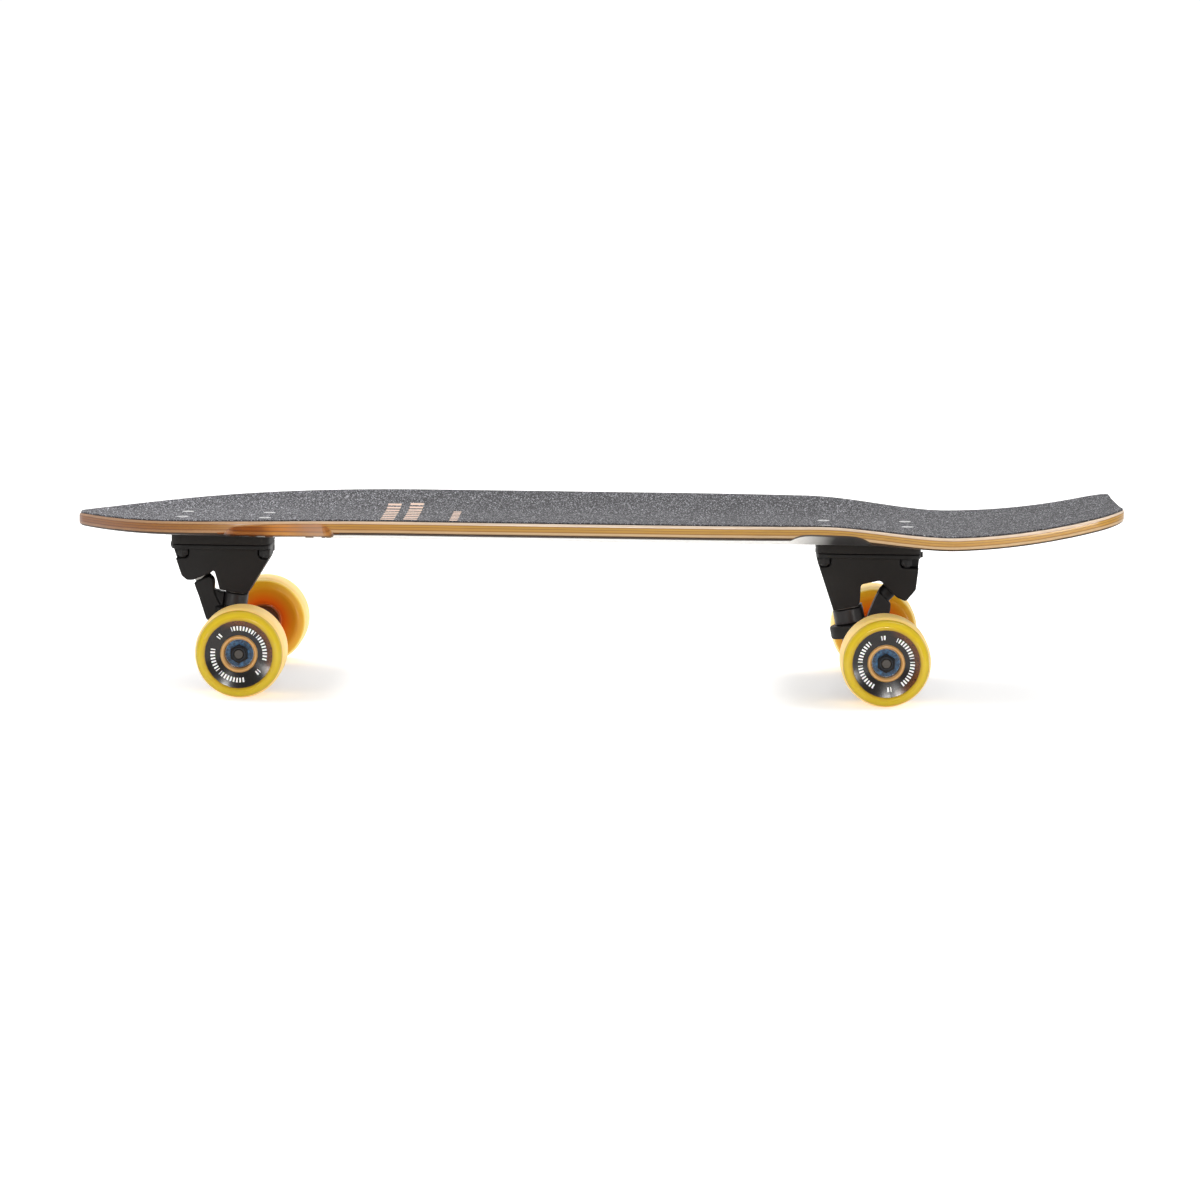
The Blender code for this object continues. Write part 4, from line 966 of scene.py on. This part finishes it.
def makeMetal(name, colour, roughness, metallic=1.0):
    finish, tree, surface = newFinish(name, Metallic=metallic)
    marks = noiseOf(tree, placeOf(tree, grainValues["metalMarks"]), 40.0, 4.0, 0.7)
    shades = mottle(tree, marks, colour, grainValues["metalDark"], 0.3, 0.7)
    tree.links.new(shades, surface.inputs["Base Color"])
    shine = between(tree, marks, 0.3, 0.7, roughness - 0.06, roughness + 0.08)
    tree.links.new(shine, surface.inputs["Roughness"])
    raiseGrain(tree, surface, marks, grainValues["metalDepth"], 0.5)
    return finish


def makeSatin(name, colour, roughness, grain, depth, coat=0.0):
    # moulded or painted pieces: fine grain, and a slow change of colour over the whole piece
    finish, tree, surface = newFinish(
        name, Coat_Weight=coat, Coat_Roughness=0.3, Specular_IOR_Level=grainValues["satinGloss"]
    )
    place = placeOf(tree)
    fine = noiseOf(tree, place, grain, 3.0, 0.7)
    slow = noiseOf(tree, place, 45.0, 3.0)
    mixed = reckon(tree, "ADD", times(tree, fine, grainValues["fineShare"]),
                   times(tree, slow, grainValues["slowShare"]))
    shades = mottle(tree, mixed, colour, grainValues["satinDark"], 0.32, 0.68)
    tree.links.new(shades, surface.inputs["Base Color"])
    shine = between(tree, fine, 0.3, 0.7, roughness - 0.05, roughness + 0.07)
    tree.links.new(shine, surface.inputs["Roughness"])
    raiseGrain(tree, surface, fine, depth, 0.45)
    return finish


def makeShield():
    finish, tree, surface = newFinish("blueShield", Roughness=0.4, Coat_Weight=0.3, Coat_Roughness=0.2)
    patches = noiseOf(tree, readMark(tree, "wheelPlace", "Vector"), 330.0, 3.0, 0.6)
    tree.links.new(rampOf(tree, patches, toned(grainValues["shield"])), surface.inputs["Base Color"])
    raiseGrain(tree, surface, patches, 0.0001, 0.3)
    return finish


def makeFinishes():
    return {
        "maple": makeMaple("mapleEdge", mapleValues["noStains"], mapleValues["varnish"]),
        "mapleCut": makeMaple("mapleCut", mapleValues["cutStainsAndPaintedLight"], mapleValues["varnishOnCuts"]),
        "underPaint": makeUnderPaint(),
        "grit": makeGrit(),
        "urethane": makeUrethane(),
        "castBlack": makeSatin("castBlack", (26, 24, 24), 0.5, 800.0, 0.00006),
        "riserRubber": makeSatin("riserRubber", (34, 30, 27), 0.62, 500.0, 0.0001),
        "bushingBlack": makeSatin("bushingBlack", (38, 35, 36), 0.4, 300.0, 0.00005, 0.2),
        "cupWhite": makeSatin("cupWhite", (225, 224, 218), 0.5, 300.0, 0.00004),
        "boltSteel": makeMetal("boltSteel", (222, 222, 222), 0.3),
        "axleSteel": makeMetal("axleSteel", (94, 90, 86), 0.4),
        "darkSteel": makeMetal("darkSteel", (60, 62, 66), 0.45),
        "raceSteel": makeMetal("raceSteel", (178, 180, 184), 0.22),
        "shieldBlue": makeShield(),
        "boltBlackAndShade": makeMetal("boltBlackAndShade", (24, 22, 22), 0.6, metallic=0.0),
    }


# Wheels and what sits on each axle; each is turned about z, with its outer side up

wheelValues = {
    "middleY": 0.1036, "height": 0.034, "axleX": {"front": -0.2660, "rear": 0.2200}, "sides": 144,
    "printTurn": {"front_left": 0.0, "rear_left": -40.0, "front_right": 75.0, "rear_right": 190.0},
    # radius, height and rounding of each corner
    "section": (
        (0.009, 0.0082, 0.0), (0.01115, 0.0082, 0.0), (0.01115, 0.0202, 0.0004), (0.0122, 0.0218, 0.0006),
        (0.0134, 0.0219, 0.0007), (0.014, 0.0201, 0.0005), (0.0255, 0.0237, 0.0025), (0.0277, 0.024, 0.002),
        (0.0319, 0.0214, 0.003), (0.034, 0.0137, 0.0022),
    ),
    "cornerSteps": 6, "softAngle": 40,
}
bearingValues = {
    "radius": 0.011, "half": 0.0035, "bore": 0.00403, "outerRace": 0.0103, "shieldFrom": 0.0058,
    "shieldDrop": 0.0004, "offset": 0.012, "sides": 96, "edge": 0.0001, "cornerSteps": 3,
}
nutValues = {
    "acrossFlats": 0.0127, "height": 0.0057, "seat": 0.0167, "bore": 0.0041, "chamfer": 0.0019,
    "washerRadius": 0.0063, "washer": 0.0009, "edge": 0.0002,
    "collar": 0.0049, "collarHeight": 0.0009, "collarBore": 0.00405, "collarRoot": (0.0058, 0.002),
    "rounding": 0.00018, "coneSides": 60, "sides": 48, "softAngle": 35,
}
axleValues = {
    "halfLength": 0.1266, "radius": 0.00395, "sides": 40, "threads": 11, "pitch": 0.0008,
    "endBevel": 0.0008, "threadDepth": 0.0004, "threadFrom": 0.0006, "plainFrom": 0.0012,
}


def wheelSpot(truck, side):
    # rider's left is the near side; the piece's z points away from the board's middle
    x, y = wheelValues["axleX"][truck], wheelValues["middleY"]
    facing = -1 if side == "left" else 1
    return Matrix((
        (-facing, 0, 0, x),
        (0, 0, facing, facing * y),
        (0, 1, 0, wheelValues["height"]),
        (0, 0, 0, 1),
    ))


def axleSpot(truck):
    place = Matrix.Translation((wheelValues["axleX"][truck], 0, wheelValues["height"]))
    return place @ Matrix.Rotation(math.pi / 2, 4, "X")


def mirrored(half):
    return half + [(radius, -height, ease) for radius, height, ease in reversed(half)]


def rememberPlace(piece):
    spots = placeArray(piece).astype(np.float32)
    mark = piece.data.attributes.new("wheelPlace", "FLOAT_VECTOR", "POINT")
    mark.data.foreach_set("vector", spots.ravel())


def buildWheel(finishes):
    section = easeCorners(mirrored(list(wheelValues["section"])), wheelValues["cornerSteps"])
    wheel = turnPiece("wheel", section, wheelValues["sides"])
    rememberPlace(wheel)
    smoothShade(wheel, wheelValues["softAngle"])
    paintWith(wheel, finishes["urethane"])
    return wheel


def buildBearing(finishes):
    # outer race, a shield set a little deeper, and the inner race, as one section
    r, half, bore = bearingValues["radius"], bearingValues["half"], bearingValues["bore"]
    race, shield, drop = bearingValues["outerRace"], bearingValues["shieldFrom"], bearingValues["shieldDrop"]
    edge = bearingValues["edge"]
    side = [
        (bore, half - edge, 0.0002), (shield, half - edge, edge), (shield, half - drop, 0.0),
        (race, half - drop, 0.0), (race, half, edge), (r, half, 0.0004),
    ]
    whole = [(bore, 0, 0)] + mirrored(side) + [(bore, -edge, 0)]
    bearing = turnPiece("bearing", easeCorners(whole, bearingValues["cornerSteps"]), bearingValues["sides"])
    rememberPlace(bearing)
    smoothShade(bearing, 35)
    paintWith(bearing, finishes["raceSteel"], finishes["shieldBlue"])
    for face in bearing.data.polygons:
        away = math.hypot(face.center.x, face.center.y)
        onShield = shield + edge < away < race - edge and abs(face.normal.z) > 0.5
        face.material_index = 1 if onShield else 0
    return bearing


def hexNut(name, acrossFlats, low, high, bore, chamfer):
    # a six-sided bar with both ends turned down to a cone, and drilled
    corner = acrossFlats / 2 / math.cos(math.pi / 6)
    putDown()
    bpy.ops.mesh.primitive_cylinder_add(
        vertices=6, radius=corner, depth=high - low, location=(0, 0, (low + high) / 2)
    )
    nut = bakePlace(nameIt(bpy.context.object, name))
    reach = corner + 0.001
    flat = acrossFlats / 2 - chamfer / 3
    cone = [
        (bore, low), (flat, low), (reach, low + chamfer), (reach, high - chamfer), (flat, high),
        (bore, high),
    ]
    cutWith(nut, turnPiece("cone", cone, nutValues["coneSides"]), "INTERSECT")
    return nut


def buildAxleNut(finishes):
    seat, top = nutValues["seat"], nutValues["seat"] + nutValues["height"]
    bodyTop, bore = top - nutValues["collarHeight"], nutValues["bore"]
    nut = hexNut("axleNut", nutValues["acrossFlats"], seat, bodyTop, bore, nutValues["chamfer"])
    inner, (root, sunk) = nutValues["collarBore"], nutValues["collarRoot"]
    collar = turnPiece("collar", easeCorners([
        (inner, bodyTop - sunk, 0), (root, bodyTop - sunk, 0), (root, bodyTop, 0.0003),
        (nutValues["collar"], top, 0.0005), (inner, top, 0),
    ], 4), nutValues["sides"])
    outer, edge, under = nutValues["washerRadius"], nutValues["edge"], seat - nutValues["washer"]
    washer = turnPiece("washer", easeCorners([
        (bore, under, 0), (outer, under, edge), (outer, seat, edge), (bore, seat, 0),
    ], 3), nutValues["sides"])
    joinPieces(nut, [collar, washer])
    roundEdges(nut, nutValues["rounding"], 2)
    smoothShade(nut, nutValues["softAngle"])
    paintWith(nut, finishes["darkSteel"])
    return nut


def buildAxle(truck, finishes):
    # the rod across the truck, with turned grooves of thread at both ends
    end, radius, pitch = axleValues["halfLength"], axleValues["radius"], axleValues["pitch"]
    half = [(0, -end, 0), (radius - axleValues["endBevel"], -end, 0)]
    for number in range(axleValues["threads"]):
        z = -end + axleValues["threadFrom"] + number * pitch
        half += [(radius - axleValues["threadDepth"], z, 0), (radius, z + pitch / 2, 0)]
    half.append((radius, -end + axleValues["plainFrom"] + axleValues["threads"] * pitch, 0))
    axle = turnPiece(f"{truck}AxleRod", easeCorners(mirrored(half)), axleValues["sides"], ring=False)
    smoothShade(axle, 30)
    paintWith(axle, finishes["axleSteel"])
    bakePlace(axle, axleSpot(truck))
    standFor(axle, f"{truck}_axle", f"{truck}_steering")


def buildRollers(finishes):
    wheel, bearing, nut = buildWheel(finishes), buildBearing(finishes), buildAxleNut(finishes)
    for truck in ("front", "rear"):
        buildAxle(truck, finishes)
        for side in ("left", "right"):
            name = f"{truck}_{side}"
            place = wheelSpot(truck, side)
            turn = Matrix.Rotation(math.radians(wheelValues["printTurn"][name]), 4, "Z")
            piece = bakePlace(copyOf(wheel, f"{name}WheelTyre"), place @ turn)
            standFor(piece, f"{name}_wheel", f"{name}_roller")
            for label, direction in (("inner", -1), ("outer", 1)):
                slide = Matrix.Translation((0, 0, direction * bearingValues["offset"]))
                piece = bakePlace(copyOf(bearing, f"{name}{label.title()}Race"), place @ slide @ turn)
                standFor(piece, f"{name}_{label}_bearing", f"{name}_roller")
            piece = bakePlace(copyOf(nut, f"{name}LockNut"), place)
            standFor(piece, f"{name}_axle_nut", f"{truck}_steering")
    throwAway(wheel, bearing, nut)


# The trucks; in a truck's own frame z is up from its baseplate's face, and x is towards the board's middle

truckValues = {
    "mountHeight": 0.106,
    # ring and gusset are (x, z) in the truck's frame; a bushing is its radius and height
    "front": {
        "ring": (0.0061, -0.056), "lean": 8.0, "steering": 50.0, "ringRadius": 0.016, "ringHeight": 0.009,
        "bushing": (0.0093, 0.0118), "barRadius": 0.0085, "flatFoot": -0.0284, "armGrowth": 0.0009,
        "gusset": (
            (-0.0105, -0.0374), (-0.0062, -0.0374), (-0.005, -0.0386), (-0.0009, -0.0392),
            (-0.0026, -0.0512), (-0.0105, -0.0512),
        ),
    },
    "rear": {
        "ring": (0.009, -0.0613), "lean": 11.5, "steering": 46.0, "ringRadius": 0.0165,
        "ringHeight": 0.0098, "bushing": (0.0118, 0.0118), "barRadius": 0.009, "armGrowth": -0.0018,
    },
    "lowerBushing": (0.0085, 0.0075), "gap": 0.0003, "bushingBore": 0.0068, "bushingRound": 0.0012,
    "bushingRings": (0.3, 0.5, 0.7),
    "ringHole": 0.0075, "ringRound": 0.0014, "gussetHalf": 0.0045,
    "barLength": 0.0878, "barEnd": 0.012, "noseLength": 0.0072, "noseRadius": 0.0065, "noseBore": 0.0041,
    "shoulder": 0.012, "waist": 0.018,
    "voxel": 0.0006, "easing": 0.5, "easingPasses": 2,
    # the arm grows at its tip and along its back, and the foot is pressed flat, each between two places
    "tipGrowth": 0.0009, "tipFrom": (0.028, 0.034), "armFrom": (0.009, 0.015),
    "footFrom": (0.0175, 0.021), "footPress": 0.85,
    "sides": 64, "bushingAngle": 40,
}
kingNutValues = {"acrossFlats": 0.014, "height": 0.007, "bore": 0.0049, "chamfer": 0.0012, "washer": 0.0012}
smallValues = {"rounding": 0.0002, "pinRounding": 0.0004, "riserRounding": 0.0009, "softAngle": 35}


def truckFrame(truck):
    middle = deckValues["patternMiddles"][0 if truck == "front" else 1]
    place = Matrix.Translation((middle, 0, truckValues["mountHeight"]))
    return place if truck == "front" else place @ Matrix.Rotation(math.pi, 4, "Z")


def kingpinFrame(truck):
    values = truckValues[truck]
    x, z = values["ring"]
    lean = Matrix.Rotation(math.radians(values["lean"]), 4, "Y")
    return truckFrame(truck) @ Matrix.Translation((x, 0, z)) @ lean


def reshape(piece, truck, change):
    # moves the piece's points in the truck's own frame
    place, back = np.array(truckFrame(truck).inverted()), np.array(truckFrame(truck))
    spots = placeArray(piece) @ place[:3, :3].T + place[:3, 3]
    change(spots)
    moveTo(piece, spots @ back[:3, :3].T + back[:3, 3])


def nodeCopy(node, name):
    # a copy of a solid's surface, with its loose triangles merged and its flats made whole
    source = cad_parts[node]
    piece = bpy.data.objects.new(name, source.data.copy())
    piece.data.name = name
    bpy.context.scene.collection.objects.link(piece)
    openMesh(piece, everything=True)
    mergePoints("touching")
    bpy.ops.mesh.select_all(action="SELECT")
    bpy.ops.mesh.dissolve_limited(angle_limit=math.radians(1.0))
    closeMesh()
    return piece


def castSkin(piece):
    # fills the corners between joined shapes and eases every edge, as a casting has them
    pickUp(piece)
    skin = piece.modifiers.new("cast skin", "REMESH")
    skin.mode = "VOXEL"
    skin.voxel_size = truckValues["voxel"]
    bpy.ops.object.modifier_apply(modifier=skin.name)
    ease = piece.modifiers.new("ease", "SMOOTH")
    ease.factor = truckValues["easing"]
    ease.iterations = truckValues["easingPasses"]
    bpy.ops.object.modifier_apply(modifier=ease.name)
    bpy.ops.object.shade_smooth()


def softStep(value, low, high):
    share = np.clip((value - low) / (high - low), 0, 1)
    return share * share * (3 - 2 * share)


def growTip(hanger, truck):
    # the arm keeps the length and width that the easing took from it
    values = truckValues[truck]
    turn = math.radians(values["steering"])
    axis = np.array([-math.cos(turn), 0, math.sin(turn)])

    def grow(spots):
        along = (spots - np.array([values["ring"][0], 0, values["ring"][1]])) @ axis
        spots += (truckValues["tipGrowth"] * softStep(along, *truckValues["tipFrom"]))[:, None] * axis
        spots[:, 0] -= values["armGrowth"] * softStep(-spots[:, 0], *truckValues["armFrom"])

    reshape(hanger, truck, grow)


def trimFoot(plate, truck):
    # the outboard corner of the housing ends flat
    def press(spots):
        below = np.minimum(0, spots[:, 2] - truckValues[truck]["flatFoot"])
        spots[:, 2] -= truckValues["footPress"] * below * softStep(-spots[:, 0], *truckValues["footFrom"])

    if "flatFoot" in truckValues[truck]:
        reshape(plate, truck, press)


def buildHanger(truck, finishes):
    values = truckValues[truck]
    hanger = nodeCopy(f"{truck}_hanger", f"{truck}Hanger")
    end, wide, narrow = truckValues["barLength"], truckValues["barEnd"], truckValues["noseRadius"]
    nose = end - truckValues["noseLength"]
    half = [
        (truckValues["noseBore"], end, 0), (narrow, end, 0.0006), (narrow, nose, 0.0004),
        (wide, nose, 0.0014), (wide, nose - truckValues["shoulder"], 0.006),
        (values["barRadius"], truckValues["waist"], 0.01),
    ]
    bar = turnPiece("bar", easeCorners(mirrored(half), 6), truckValues["sides"])
    bakePlace(bar, axleSpot(truck))
    tall, outer, hole = values["ringHeight"] / 2, values["ringRadius"], truckValues["ringHole"]
    rounding = truckValues["ringRound"]
    ring = turnPiece("ring", easeCorners([
        (hole, -tall, 0), (outer, -tall, rounding), (outer, tall, rounding), (hole, tall, 0),
    ]), truckValues["sides"])
    bakePlace(ring, kingpinFrame(truck))
    joinPieces(hanger, [bar, ring])
    if "gusset" in values:
        # thin wall between the arm and the upper bushing
        reach = truckValues["gussetHalf"]
        gusset = extrudeOutline("gusset", values["gusset"], -reach, reach)
        bakePlace(gusset, truckFrame(truck))
        joinPieces(hanger, [gusset])
    castSkin(hanger)
    growTip(hanger, truck)
    paintWith(hanger, finishes["castBlack"])
    standFor(hanger, f"{truck}_hanger", f"{truck}_steering")


def buildBaseplate(truck, finishes):
    plate = nodeCopy(f"{truck}_baseplate", f"{truck}Housing")
    castSkin(plate)
    trimFoot(plate, truck)
    paintWith(plate, finishes["castBlack"])
    standFor(plate, f"{truck}_baseplate", "board")
    riser = nodeCopy(f"{truck}_riser", f"{truck}RiserPad")
    roundEdges(riser, smallValues["riserRounding"], 3)
    smoothShade(riser, smallValues["softAngle"])
    paintWith(riser, finishes["riserRubber"])
    standFor(riser, f"{truck}_riser", "board")


def buildBushings(truck, finishes):
    values, gap = truckValues[truck], truckValues["gap"]
    half = values["ringHeight"] / 2
    lowerRadius, lowerHeight = truckValues["lowerBushing"]
    bore, rounding = truckValues["bushingBore"], truckValues["bushingRound"]
    for level, (radius, height), low in (
        ("upper", values["bushing"], half + gap),
        ("lower", (lowerRadius, lowerHeight), -half - gap - lowerHeight),
    ):
        steps = [low + height * share for share in truckValues["bushingRings"]]
        corners = [(bore, low, 0), (radius, low, rounding)]
        corners += [(radius, step, 0) for step in steps]
        corners += [(radius, low + height, rounding), (bore, low + height, 0)]
        corners += [(bore, step, 0) for step in reversed(steps)]
        name = f"{truck}{level.title()}Bushing"
        bushing = turnPiece(name, easeCorners(corners, 8), truckValues["sides"])
        bakePlace(bushing, kingpinFrame(truck))
        smoothShade(bushing, truckValues["bushingAngle"])
        paintWith(bushing, finishes["bushingBlack"])
        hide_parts(f"{truck}_{level}_bushing")
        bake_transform(bushing)


def softenNode(node, name, finish, body, width):
    piece = nodeCopy(node, name)
    roundEdges(piece, width, 2)
    smoothShade(piece, smallValues["softAngle"])
    paintWith(piece, finish)
    standFor(piece, node, body)


def buildSmallParts(truck, finishes):
    rounding, steel = smallValues["rounding"], finishes["axleSteel"]
    softenNode(f"{truck}_kingpin", f"{truck}KingBolt", finishes["boltSteel"], "board",
               smallValues["pinRounding"])
    for level in ("upper", "lower"):
        name = f"{truck}{level.title()}CupWasher"
        softenNode(f"{truck}_{level}_bushing_washer", name, steel, "board", rounding)
    softenNode(f"{truck}_pivot_cup", f"{truck}PivotCup", finishes["cupWhite"], "board",
               rounding)
    for side in ("left", "right"):
        name = f"{truck}{side.title()}Spacer"
        softenNode(f"{truck}_{side}_spacer", name, steel, f"{truck}_steering", rounding)
    # the nut under ring, bushing and washer
    values, gap = kingNutValues, truckValues["gap"]
    top = -truckValues[truck]["ringHeight"] / 2 - gap - truckValues["lowerBushing"][1] - gap
    top = top - values["washer"] - gap
    nut = hexNut(f"{truck}KingNut", values["acrossFlats"], top - values["height"], top, values["bore"],
                 values["chamfer"])
    bakePlace(nut, kingpinFrame(truck))
    roundEdges(nut, rounding, 2)
    smoothShade(nut, smallValues["softAngle"])
    paintWith(nut, finishes["boltSteel"])
    standFor(nut, f"{truck}_kingpin_nut", "board")


boltValues = {
    "head": 0.0046, "shank": 0.0025, "top": 0.1271, "rim": 0.0003, "bottom": 0.0957, "socket": 0.0016,
    "socketDepth": 0.0018, "brightFrom": 0.115, "tipBevel": (0.0003, 0.0004), "sides": 40,
    "nutTop": 0.1022, "nutHeight": 0.005, "nutFlats": 0.008, "nutBore": 0.0026, "nutChamfer": 0.0008,
    "nutRounding": 0.00012, "softAngle": 35,
}


def buildBolts(finishes):
    values = boltValues
    top, head, shank, bottom = values["top"], values["head"], values["shank"], values["bottom"]
    inward, upward = values["tipBevel"]
    bolt = turnPiece("bolt", easeCorners([
        (0, bottom, 0), (shank - inward, bottom, 0.0002), (shank, bottom + upward, 0),
        (shank, top - values["rim"] - (head - shank), 0), (head, top - values["rim"], 0.0001),
        (head, top, 0.00015), (0, top, 0),
    ], 3), values["sides"], ring=False)
    putDown()
    bpy.ops.mesh.primitive_cylinder_add(
        vertices=6, radius=values["socket"], depth=2 * values["socketDepth"], location=(0, 0, top)
    )
    cutWith(bolt, bakePlace(nameIt(bpy.context.object, "socket")))
    smoothShade(bolt, values["softAngle"])
    paintWith(bolt, finishes["boltSteel"], finishes["boltBlackAndShade"])
    # painted shade: below brightFrom, where the bolt sits in the housing's pockets, it is painted dark; the
    # head stays bright steel
    for face in bolt.data.polygons:
        face.material_index = 1 if face.center.z < values["brightFrom"] else 0
    nutTop = values["nutTop"]
    nut = hexNut("boltNut", values["nutFlats"], nutTop - values["nutHeight"], nutTop, values["nutBore"],
                 values["nutChamfer"])
    roundEdges(nut, values["nutRounding"], 2)
    smoothShade(nut, values["softAngle"])
    paintWith(nut, finishes["boltBlackAndShade"])
    for truck in ("front", "rear"):
        # bolt 1 is the corner at -x, -y of the truck's own frame
        for number, (x, y) in enumerate(boltPlaces(0), start=1):
            place = truckFrame(truck) @ Vector((x, y, 0))
            slide = Matrix.Translation((place.x, place.y, 0))
            for source, label, node in ((bolt, "DeckBolt", "bolt"), (nut, "DeckNut", "bolt_nut")):
                piece = bakePlace(copyOf(source, f"{truck}{label}{number}"), slide)
                standFor(piece, f"{truck}_{node}_{number}", "board")
    throwAway(bolt, nut)


buildStudio()
print("studio and camera are up")
finishes = makeFinishes()
print("finishes mixed:", len(finishes))
buildDeck(finishes)
print("deck pressed, wells and bolt holes cut")
buildGrip(finishes)
print("grip laid on")
buildRollers(finishes)
print("wheels, bearings, nuts and axles fitted")
for truck in ("front", "rear"):
    buildBaseplate(truck, finishes)
    buildHanger(truck, finishes)
    buildBushings(truck, finishes)
    buildSmallParts(truck, finishes)
    print(truck, "truck assembled")
buildBolts(finishes)
print("deck bolts and nuts in place")
